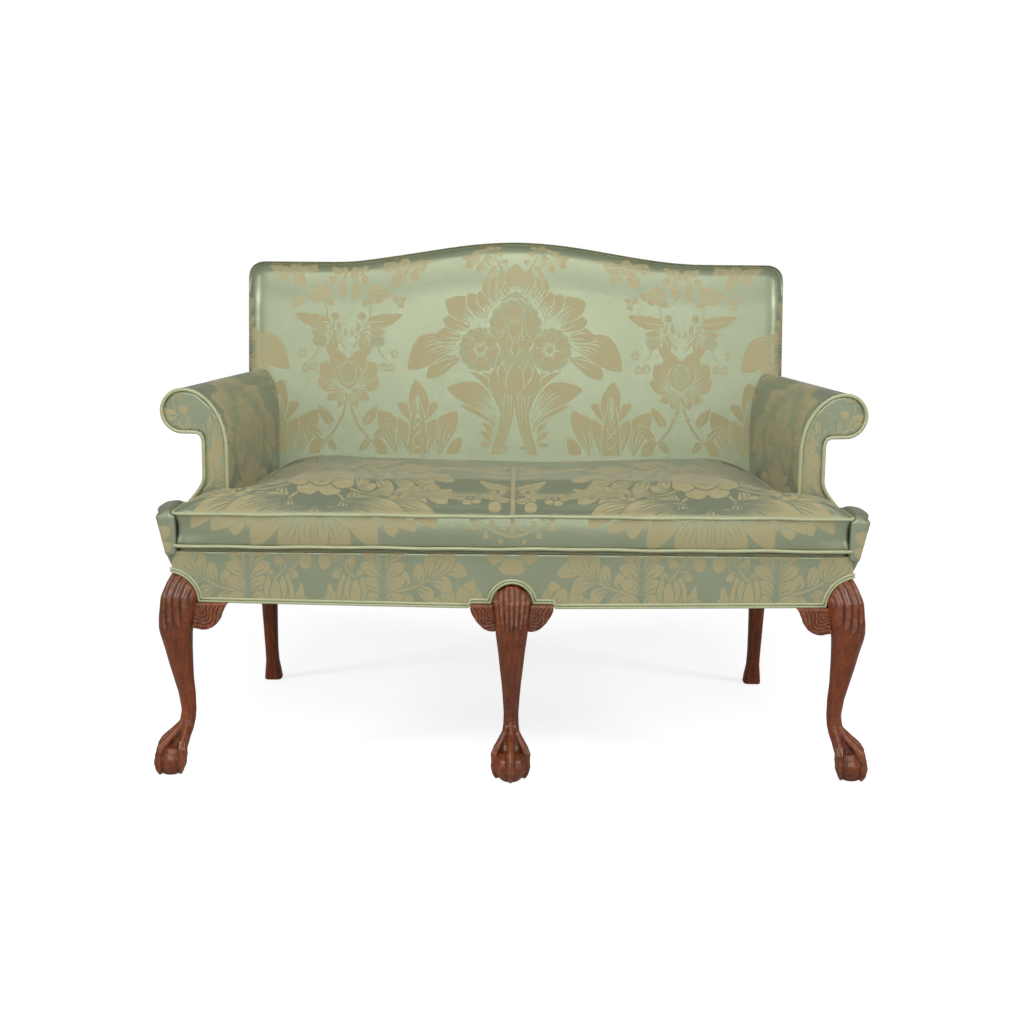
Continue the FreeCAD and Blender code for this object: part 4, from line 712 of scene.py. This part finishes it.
def make_back():
    """Back pad: rounded off to its top and side edges, a slight belly in the middle."""
    piece = copy_of("back_pad", "inside_back")
    remesh(piece, 0.0046)
    soften(piece, 9)
    refine(piece, lambda c, n: ((n[:, 1] < -0.25) | (n[:, 2] > 0.2)) & (c[:, 2] > 0.47))
    soften(piece, 2)
    points = points_of(piece)
    x = points[:, 0]
    depth, height = back_plane(points)
    crest = 0.534 + 0.0465 * (1 + np.cos(np.pi * np.clip(np.abs(x) / 0.430, 0, 1))) / 2
    near_top = np.clip(1.0 - (crest - height) / 0.108, 0.0, 1.0)
    near_side = steps(0.060, 0.0, 0.603 - np.abs(x))
    belly = (np.cos(np.pi * np.clip((height - 0.25) / 0.6, -0.5, 0.5))
             * np.cos(np.pi * np.clip(x / 1.3, -0.5, 0.5)))
    front = steps(0.030, 0.012, depth)
    back_off = front * (0.026 * near_top ** 1.7 + 0.006 * near_side ** 2 - 0.006 * belly)
    points[:, 1] += back_off * math.cos(RAKE)
    points[:, 2] -= back_off * math.sin(RAKE)
    move_to(piece, points)
    soften(piece, 3)
    points = points_of(piece)
    normals = normals_of(piece)
    depth, height = back_plane(points)
    wrap = np.maximum(depth - 0.010, 0.0)
    across = points[:, 0] + wrap * normals[:, 0]
    up = height + wrap * np.maximum(normals[:, 2], 0.0)
    weave_onto(piece, across / MM, up / MM - 371.0, back_figure)
    covered(piece, ["back_pad"])


def make_plate(node, name, size, turns, plan, figure=back_figure):
    """Covered panel: remeshed, its edges eased, its figure laid on it by a plan from points in millimetres."""
    piece = copy_of(node, name)
    remesh(piece, size)
    soften(piece, turns)
    across, up = plan(points_of(piece) / MM)
    weave_onto(piece, across, up, figure)
    covered(piece, [node])


def arm_plan(points, sign):
    """Cloth on the inside arm: along the arm, and up the pad and over its roll."""
    y, z = points[:, 1] - FACE_Y / MM, points[:, 2]
    roll_x = 640.0 - 78.0 * (y - 120.0) / 490.0
    turn = np.arctan2(z - ROLL_Z, roll_x - points[:, 0] * sign)
    over = np.where(turn < -1.6, turn + 2 * math.pi, turn)
    return y - 300.0, np.where(over > 0, ROLL_Z + over * 62.0, z) - 640.0


def swollen(piece, points):
    """Places of the points when the case swells between its seams, no point by more than the cap."""
    seams = np.min([np.abs(points[:, 2] - seam * MM) for seam in SEAMS], axis=0) < 0.004
    group = piece.vertex_groups.new(name="seams")
    group.add([int(i) for i in np.nonzero(seams)[0]], 1.0, "REPLACE")
    modifier = piece.modifiers.new("swell", "CLOTH")
    settings = modifier.settings
    settings.use_pressure = True
    settings.uniform_pressure_force = 4.0
    settings.vertex_group_mass = "seams"
    settings.effector_weights.gravity = 0.0
    settings.quality = 4
    modifier.point_cache.frame_start = 1
    modifier.point_cache.frame_end = SWELL_FRAMES
    for number in range(1, SWELL_FRAMES + 1):
        bpy.context.scene.frame_set(number)
    select_only(piece)
    bpy.ops.object.modifier_apply(modifier=modifier.name)
    bpy.context.scene.frame_set(1)
    move = points_of(piece) - points
    length = np.linalg.norm(move, axis=1)
    piece.vertex_groups.clear()
    return points + move * (np.minimum(length, SWELL_CAP) / np.maximum(length, 1e-9))[:, None]


def make_cushion():
    """Feather cushion: the case alone, swollen between its seams, with a crease, a dip and an uneven crown."""
    piece = copy_of("seat_cushion_case", "seat_cushion")
    edited(piece, bpy.ops.mesh.separate, type="LOOSE")
    parts = [piece] + [o for o in bpy.context.selected_objects if o != piece]
    parts.sort(key=lambda o: o.dimensions.x, reverse=True)
    for extra in parts[1:]:
        bpy.data.objects.remove(extra)
    piece = parts[0]
    piece.name = "seat_cushion"
    remesh(piece, 0.006)
    soften(piece, 3)
    points = points_of(piece)
    points = swollen(piece, points)
    x, y = points[:, 0], points[:, 1] - FACE_Y
    top = steps(0.506, 0.530, points[:, 2])
    crease = np.exp(-((x - 0.004 - 0.012 * np.sin(y * 9)) / 0.020) ** 2) * steps(0.10, -0.02, y)
    dip = np.exp(-(x / 0.16) ** 2) * np.exp(-((y - 0.22) / 0.20) ** 2)
    lift = ripple(points, 7.0, 1.3) * 0.0022 + ripple(points, 17.0, 4.0) * 0.0009
    points[:, 2] += top * (lift - 0.007 * crease - 0.005 * dip)
    move_to(piece, points)
    remesh(piece, 0.0046)
    soften(piece, 3)
    refine(piece, lambda c, n: (n[:, 2] > 0.15) | (n[:, 1] < -0.3))
    x, y, z = points_of(piece).T / MM
    y -= FACE_Y / MM
    drop = np.maximum(SEAMS[1] - z, 0.0)
    weave_onto(piece, x, y + 10.0 - drop * (y < 60), seat_figure)
    covered(piece, ["seat_cushion_case"], "seat_cushion")


def block(name, sign, front_low, front_high, rear_low, rear_high):
    """Four-sided filling; each edge is inner and outer x, y back from the front face, and z, in millimetres."""
    bpy.ops.mesh.primitive_cube_add(size=1, location=(0, 0, 0))
    piece = bpy.context.active_object
    piece.name = name
    edges = {(-1, -1): front_low, (-1, 1): front_high, (1, -1): rear_low, (1, 1): rear_high}
    places = []
    for x, y, z in np.sign(points_of(piece)):
        edge = edges[(int(y), int(z))]
        places.append((edge[int(x > 0)] * sign * MM, FACE_Y + edge[2] * MM, edge[3] * MM))
    move_to(piece, np.array(places))
    edited(piece, bpy.ops.mesh.normals_make_consistent, inside=False)
    return piece


def make_side(side, sign):
    """Side border, the ledge over it and the fillings at their front and rear corners, covered as one."""
    nodes = [side + "_side_rail_cover", side + "_side_ledge"]
    parts = [copy_of(nodes[0], side + "_side_border"), copy_of(nodes[1], "ledge"),
             block("front_corner", sign, (634, 656, -5, 424), (634, 674, -5, 503), (636, 646, 108, 424),
                   (643, 664, 108, 503)),
             block("rear_corner", sign, (578, 592, 600, 337), (578, 592, 600, 470), (578, 592, 627, 337),
                   (578, 592, 644, 470))]
    piece = joined(parts, side + "_side_border")
    remesh(piece, 0.003)
    soften(piece, 13)
    x, y, z = points_of(piece).T / MM
    weave_onto(piece, y - FACE_Y / MM - 200.0 - (np.abs(x) - 645.0), z - 334.0, rail_figure)
    covered(piece, nodes)


def make_hidden_pad(node, name, body, material, size, squeeze=1.0):
    """Pad under a cover, shrunk about its middle by the squeeze in height and half as much each way in plan."""
    piece = copy_of(node, name)
    remesh(piece, size)
    soften(piece, 2)
    points = points_of(piece)
    middle = (points.max(axis=0) + points.min(axis=0)) / 2
    move_to(piece, middle + (points - middle) * np.array([0.5 + squeeze / 2, 0.5 + squeeze / 2, squeeze]))
    finish_piece(piece, body, [node], material)


SIDES = (("right", 1.0), ("left", -1.0))

make_back()
make_cushion()
for side, sign in SIDES:
    make_plate(side + "_arm_pad", side + "_inside_arm", 0.0036, 8, lambda p: arm_plan(p, sign))
    make_plate(side + "_arm_facing", side + "_scroll_facing", 0.0028, 2,
               lambda p: (p[:, 0] * sign - 610.0 + HALF_REPEAT, p[:, 2] - 650.0))
    make_plate(side + "_arm_outside_panel", side + "_outside_arm", 0.004, 3,
               lambda p: (p[:, 1] - FACE_Y / MM - 300.0, p[:, 2] - 640.0))
    make_side(side, sign)
make_plate("front_rail_cover", "front_border", 0.0022, 2, lambda p: (p[:, 0], p[:, 2] - RAIL_EDGE), rail_figure)
make_plate("outside_back_panel", "outside_back", 0.0046, 4, lambda p: (p[:, 0], p[:, 2] - 800.0))
make_hidden_pad("seat_deck_pad", "seat_platform", "frame", deck_cloth, 0.005)
make_hidden_pad("seat_cushion_insert", "cushion_filling", "seat_cushion", ticking_cloth, 0.012, 0.74)


# -------- cords and welts

def cord(name, path, radius, closed=False):
    """Round cord along a path of points, made a mesh."""
    curve = bpy.data.curves.new(name, "CURVE")
    curve.dimensions = "3D"
    spline = curve.splines.new("POLY")
    spline.points.add(len(path) - 1)
    for point, place in zip(spline.points, path):
        point.co = (*place, 1.0)
    spline.use_cyclic_u = closed
    curve.bevel_depth = radius
    curve.bevel_resolution = 3
    curve.use_fill_caps = not closed
    piece = added(name, curve)
    select_only(piece)
    bpy.ops.object.convert(target="MESH")
    return piece


def circle_run(cx, cz, radius, start, end, count):
    turns = [math.radians(start + (end - start) * k / count) for k in range(count + 1)]
    return [(cx + radius * math.cos(turn), cz + radius * math.sin(turn)) for turn in turns]


def straight_run(a, b, count):
    return [(a[0] + (b[0] - a[0]) * k / count, a[1] + (b[1] - a[1]) * k / count) for k in range(count + 1)]


def knee_run(middle, lift, count):
    """Arch of the border over a corner knee, raised by lift, from its outer edge down."""
    r = KNEE_R + lift
    side = math.copysign(10.0, middle)
    top = math.degrees(math.acos(-side / r))
    low = math.degrees(math.asin(lift / r))
    return circle_run(middle, KNEE_Z, r, top, 180 - low if middle > 0 else low, count)


def front_edge(lift):
    """Lower edge of the front border from right to left in millimetres, raised by lift."""
    low = RAIL_EDGE + lift
    step = low + 9.0
    arch = 38.5 + lift
    right = knee_run(655.0, lift, 18)
    for start, end, count in ((right[-1], (84.0, low), 20), ((84.0, low), (78.0, step), 4),
                              ((78.0, step), (math.sqrt(arch ** 2 - lift ** 2) + 2, step), 4)):
        right += straight_run(start, end, count)[1:]
    turn = math.degrees(math.asin(lift / arch))
    crown = circle_run(0.0, step - lift, arch, turn, 180 - turn, 24)
    return right + crown + [(-x, z) for x, z in reversed(right)]


def side_run(lift, out):
    """Lower edge of a side border, raised by lift and out from the cover, from front to rear, in metres."""
    run = knee_run(-10.0, lift, 14)
    run += straight_run(run[-1], (612.0, KNEE_Z + lift), 24)[1:]
    c, s = math.cos(SIDE_ANGLE), math.sin(SIDE_ANGLE)
    return [((645.0 + out * c - y * s) * MM, FACE_Y + (out * s + y * c) * MM, z * MM) for y, z in run]


welts = []
for lift in (2.2, 7.4):
    run = side_run(lift, 1.6)
    front = [(x * MM, FACE_Y - 0.0016, z * MM) for x, z in front_edge(lift)]
    for path in (front, run, [(-x, y, z) for x, y, z in run]):
        welts.append(cord("welt", path, 0.0026))
welt = joined(welts, "double_welt")
finish_piece(welt, "frame", ["rail_double_welt"], piping_cloth)


def facing_run(inset):
    """Outline of the scroll from the deck, up and over the roll and down to the ledge, in millimetres."""
    inner, neck, foot, r = 555.0 + inset, 605.0 - inset, 652.0 - inset, 44.0 - inset
    under = ROLL_Z - r
    rise, reach = ROLL_Z + r - 610.0, ROLL_X - inner
    run = straight_run((inner, 441.0), (inner, 610.0), 12)
    run += [(ROLL_X - reach * math.cos(math.pi / 2 * k / 12), 610.0 + rise * math.sin(math.pi / 2 * k / 12))
            for k in range(1, 13)]
    run += circle_run(ROLL_X, ROLL_Z, r, 90, -78, 20)[1:]
    run += straight_run(run[-1], (neck + 12.0, under), 2)[1:]
    run += [(neck + 5, under - 4), (neck + 1.5, under - 10), (neck, under - 18)]
    run += straight_run((neck, under - 18), (neck, 560.0), 6)[1:]
    run += [(neck + (foot - neck) * (1 - math.cos(math.pi * k / 12)) / 2, 560.0 - 90.0 * k / 12)
            for k in range(1, 13)]
    return run


for side, sign in SIDES:
    path = [(sign * x * MM, FACE_Y + 0.1125, z * MM) for x, z in facing_run(2.6)]
    piece = cord(side + "_scroll_piping", path, 0.0036)
    finish_piece(piece, "frame", [side + "_arm_facing_piping"], piping_cloth)


def tee_run(grow):
    """Plan of the cushion's seam in millimetres, grown outwards, its corners rounded."""
    corner, count = 16.0, 7
    front, ear, ear_y, rear = -10.0 - grow, 639.0 + grow, 100.0 + grow, 562.0 + grow
    def arm(y):
        return 555.0 + (526.0 - 555.0) * (y - 120.0) / 490.0 - 3.0 + grow
    right = [(ear, front, corner), (ear, ear_y, corner), (arm(ear_y), ear_y, corner / 3),
             (arm(rear), rear, corner)]
    corners = right + [(-x, y, r) for x, y, r in reversed(right)]
    run = []
    for i, (x, y, r) in enumerate(corners):
        here = Vector((x, y))
        before = (Vector(corners[i - 1][:2]) - here).normalized()
        after = (Vector(corners[(i + 1) % len(corners)][:2]) - here).normalized()
        half = before.angle(after) / 2
        centre = here + (before + after).normalized() * (r / math.sin(half))
        start, end = (here + way * (r / math.tan(half)) - centre for way in (before, after))
        for k in range(count + 1):
            spoke = start * (1 - k / count) + end * (k / count)
            run.append(centre + spoke.normalized() * r)
    dense = []
    for a, b in zip(run, run[1:] + run[:1]):
        pieces = max(1, int((b - a).length / 12))
        dense += [a + (b - a) * k / pieces for k in range(pieces)]
    return dense


rings = []
for z in SEAMS:
    path = []
    for x, y in tee_run(1.4):
        wave = 0.6 * math.sin(x / 61.0) + 0.5 * math.sin(x / 23.0 + y / 40.0)
        path.append((x * MM, FACE_Y + y * MM, (z + wave) * MM))
    rings.append(cord("seam", path, 0.0032, closed=True))
seam = joined(rings, "cushion_piping")
finish_piece(seam, "seat_cushion", ["seat_cushion_piping"], piping_cloth)


# -------- carved legs

def lobes(across, pitch, low, notch, lean, z, high):
    """Rounded lobes side by side, from -0.45 to 0.55, ending at a ragged line that rises off the middle."""
    wave = np.pi * across / pitch
    ragged = low + notch * np.abs(np.sin(wave)) + lean
    return (np.abs(np.cos(wave)) ** 0.7 - 0.45) * steps(0.0, high, z - ragged)


def flutes(points, sign):
    """Depth of the raised lobes that sweep down a corner knee, in metres, outwards."""
    x, y, z = ((points - (0.645 * sign, FACE_Y, 0.0)) / MM).T
    x = x * sign
    across = x + y + 20.0 * np.clip((374.0 - z) / 110.0, 0.0, 1.2) ** 2
    return 0.0036 * lobes(across, 15.0, 268.0, 16.0, 0.35 * np.abs(x - 20.0), z, 16.0) * steps(396.0, 384.0, z)


def reeds(points):
    """Depth of the fan of reeds on the centre knee, in metres, forwards."""
    x, _, z = points.T / MM
    spread = 0.62 + 0.38 * np.clip((z - 262.0) / 100.0, 0.0, 1.0)
    return 0.0032 * lobes(x / spread, 11.0, 276.0, 14.0, 0.5 * np.abs(x), z, 14.0)


def ear_lines(points, root_x, root_z):
    """Depth of the cut lines on an ear, curved round the place where it meets the knee."""
    away = np.hypot(np.abs(points[:, 0]) - root_x, points[:, 2] - root_z) / MM
    turn = np.arctan2(root_z - points[:, 2], np.abs(np.abs(points[:, 0]) - root_x))
    lines = np.abs(np.cos(np.pi * (away + 5.0 * np.sin(turn * 5.0)) / 7.5)) ** 0.6 - 0.5
    return 0.0018 * lines * steps(4.0, 16.0, away)


def wear_and_shade(piece):
    """Store where the surface stands proud, as wear, and where it is hollow, as painted shade."""
    points = points_of(piece)
    soften(piece, 7)
    eased = points_of(piece)
    normals = normals_of(piece)
    proud = np.einsum("ij,ij->i", points - eased, normals)
    move_to(piece, points)
    attribute(piece, "worn", np.clip(proud * WEAR_AND_SHADE_GAIN, 0, 1))
    # painted shade: depth in the hollows, darkened by the wood material
    attribute(piece, "hollow", np.clip(-proud * WEAR_AND_SHADE_GAIN, 0, 1))


def carve_leg(node, name):
    """Remeshed leg or ears, a leg's knee smoothed, then carved; wear and the painted shade of the hollows come from
    the surface itself.
    """
    piece = copy_of(node, name)
    remesh(piece, 0.002)
    z = points_of(piece)[:, 2]
    soften(piece, 3)
    light = points_of(piece)
    soften(piece, 14)
    smooth = points_of(piece)
    share = (steps(0.100, 0.130, z) * steps(0.392, 0.372, z) * ("ears" not in name))[:, None]
    points = light * (1 - share) + smooth * share
    move_to(piece, points)
    normals = normals_of(piece)
    lift = np.zeros(len(points))
    if node.endswith("_leg") and "rear" not in node:
        forward = np.clip(-normals[:, 1], 0, 1)
        if "centre" in node:
            lift = reeds(points) * forward
        else:
            sign = -1.0 if node.startswith("left") else 1.0
            outward = np.clip(normals[:, 0] * sign, 0, 1)
            lift = flutes(points, sign) * np.clip(forward + outward, 0, 1)
    elif "brackets" in node:
        facing = np.clip(np.abs(normals[:, 1]) + np.abs(normals[:, 0]) - np.abs(normals[:, 2]), 0, 1)
        lift = ear_lines(points, 0.601 if "centre" not in node else 0.030, 0.332) * facing
    move_to(piece, points + normals * lift[:, None])
    # wear on the proud places and painted shade in the hollows
    wear_and_shade(piece)
    finish_piece(piece, "frame", [node], mahogany)


for ending, looks, places in (("_front_leg", "_cabriole_leg", ("right", "left", "centre")),
                              ("_rear_leg", "_raked_leg", ("right", "left")),
                              ("_leg_brackets", "_knee_ears", ("right", "left", "centre"))):
    for place in places:
        carve_leg(place + ending, place + looks)


# -------- webbing and under-cloths

def stretched_cloth(node, name, cuts, slack, lean, material):
    """Thin cloth or straps taken from their own node, divided finely and let hang a little slack."""
    piece = copy_of(node, name)
    edited(piece, bpy.ops.mesh.subdivide, number_cuts=cuts, smoothness=0.0)
    points = points_of(piece)
    low, high = points.min(axis=0), points.max(axis=0)
    share = (points - low) / (high - low)
    run = share[:, 2] if lean else share[:, 1]
    hollow = np.sin(np.pi * share[:, 0]) * np.sin(np.pi * np.clip(run, 0, 1))
    slope = np.array([0.0, math.cos(RAKE), -math.sin(RAKE)]) if lean else np.array([0.0, 0.0, -1.0])
    flat = np.column_stack([points[:, 0], points[:, 1] * (not lean), points[:, 2] * lean])
    move_to(piece, points + slope * ((slack * hollow * (0.8 + 0.2 * ripple(flat, 9.0, 2.0)))[:, None]))
    return finish_piece(piece, "frame", [node], material)


def declare_sheet(piece):
    """Reads the cloth's points; nothing more is done with them."""
    points = points_of(piece)


under_cloths = [
    ("bottom_cloth", "dust_cloth", 0.003, False, "black_cloth", black_cloth,
     ["front_seat_rail", "back_seat_rail"]),
    ("seat_hessian", "seat_burlap", 0.0, False, "hessian", hessian_cloth, ["seat_straps"]),
    ("back_hessian", "back_burlap", 0.0, True, "hessian", hessian_cloth, ["back_straps"])]
sheets = [(stretched_cloth(node, name, 7, slack, lean, material), rests_on)
          for node, name, slack, lean, slot, material, rests_on in under_cloths]
stretched_cloth("seat_webbing", "seat_straps", 3, 0.0, False, webbing_cloth)
stretched_cloth("back_webbing", "back_straps", 3, 0.0, True, webbing_cloth)
for sheet, rests_on in sheets:
    declare_sheet(sheet)


# -------- carried-over frame

for name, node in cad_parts.items():
    if not node.hide_render:
        node.data.materials.clear()
        node.data.materials.append(beech)


# -------- studio

def seen_directly(tree):
    """1 where the camera looks straight at a surface or through the film."""
    rays = tree.nodes.new("ShaderNodeLightPath")
    return maths(tree, "MAXIMUM", rays.outputs["Is Camera Ray"], rays.outputs["Is Transmission Ray"])


def make_stage():
    """White floor that keeps a faint shadow near the legs and goes to plain white further out."""
    bpy.ops.mesh.primitive_plane_add(size=14, location=(0, 1, 0))
    floor = bpy.context.active_object
    floor.name = "studio_floor"
    material, tree, shader = new_material("studio_white", 0.9)
    away = made(tree, "VectorMath", {0: object_place(tree)}, "Value", operation="LENGTH")
    level = times(tree, seen_directly(tree), ranged(tree, away, 0.9, 2.6, 0.74, 1.0))
    wire(tree, shader, {"Base Color": (0.55, 0.55, 0.55, 1), "Specular IOR Level": 0.1,
                        "Emission Color": (1, 1, 1, 1), "Emission Strength": level})
    floor.data.materials.append(material)


def lamp(name, place, aim, width, height, power):
    data = bpy.data.lights.new(name, "AREA")
    data.shape = "RECTANGLE"
    data.size = width
    data.size_y = height
    data.energy = power
    light = added(name, data)
    light.location = place
    light.rotation_euler = (Vector(aim) - Vector(place)).to_track_quat("-Z", "Y").to_euler()


def make_world():
    """White to the camera, dim as a light."""
    world = bpy.data.worlds.new("studio_world")
    bpy.context.scene.world = world
    world.use_nodes = True
    tree = world.node_tree
    background = next(node for node in tree.nodes if node.type == "BACKGROUND")
    level = ranged(tree, seen_directly(tree), 0.0, 1.0, 0.22, 1.0)
    wire(tree, background, {"Color": (1, 1, 1, 1), "Strength": level})


make_stage()
make_world()
lamp("front_softbox", (0.0, -4.4, 2.0), (0, 0, 0.8), 3.6, 1.5, 85)
lamp("left_softbox", (-3.4, -1.6, 2.1), (0, 0, 0.4), 0.9, 1.4, 50)
lamp("right_softbox", (3.4, -1.6, 2.1), (0, 0, 0.4), 0.9, 1.4, 50)
lamp("top_softbox", (0.0, -1.3, 3.4), (0, 0, 0.4), 2.4, 1.4, 42)

camera_data = bpy.data.cameras.new("camera")
camera_data.lens = 53.44
camera_data.sensor_width = 36.0
camera_data.clip_end = 60
camera = added("camera", camera_data)
camera.location = (0.012, FACE_Y - 2.813, 1.009)
pitch, yaw, roll = math.radians(10.0), math.radians(-0.27), math.radians(0.47)
forward = Vector((math.sin(yaw) * math.cos(pitch), math.cos(yaw) * math.cos(pitch), -math.sin(pitch)))
turned = forward.to_track_quat("-Z", "Y").to_matrix()
camera.rotation_euler = (turned @ Matrix.Rotation(roll, 3, "Z")).to_euler()
bpy.context.scene.camera = camera
bpy.context.scene.view_settings.view_transform = "Standard"
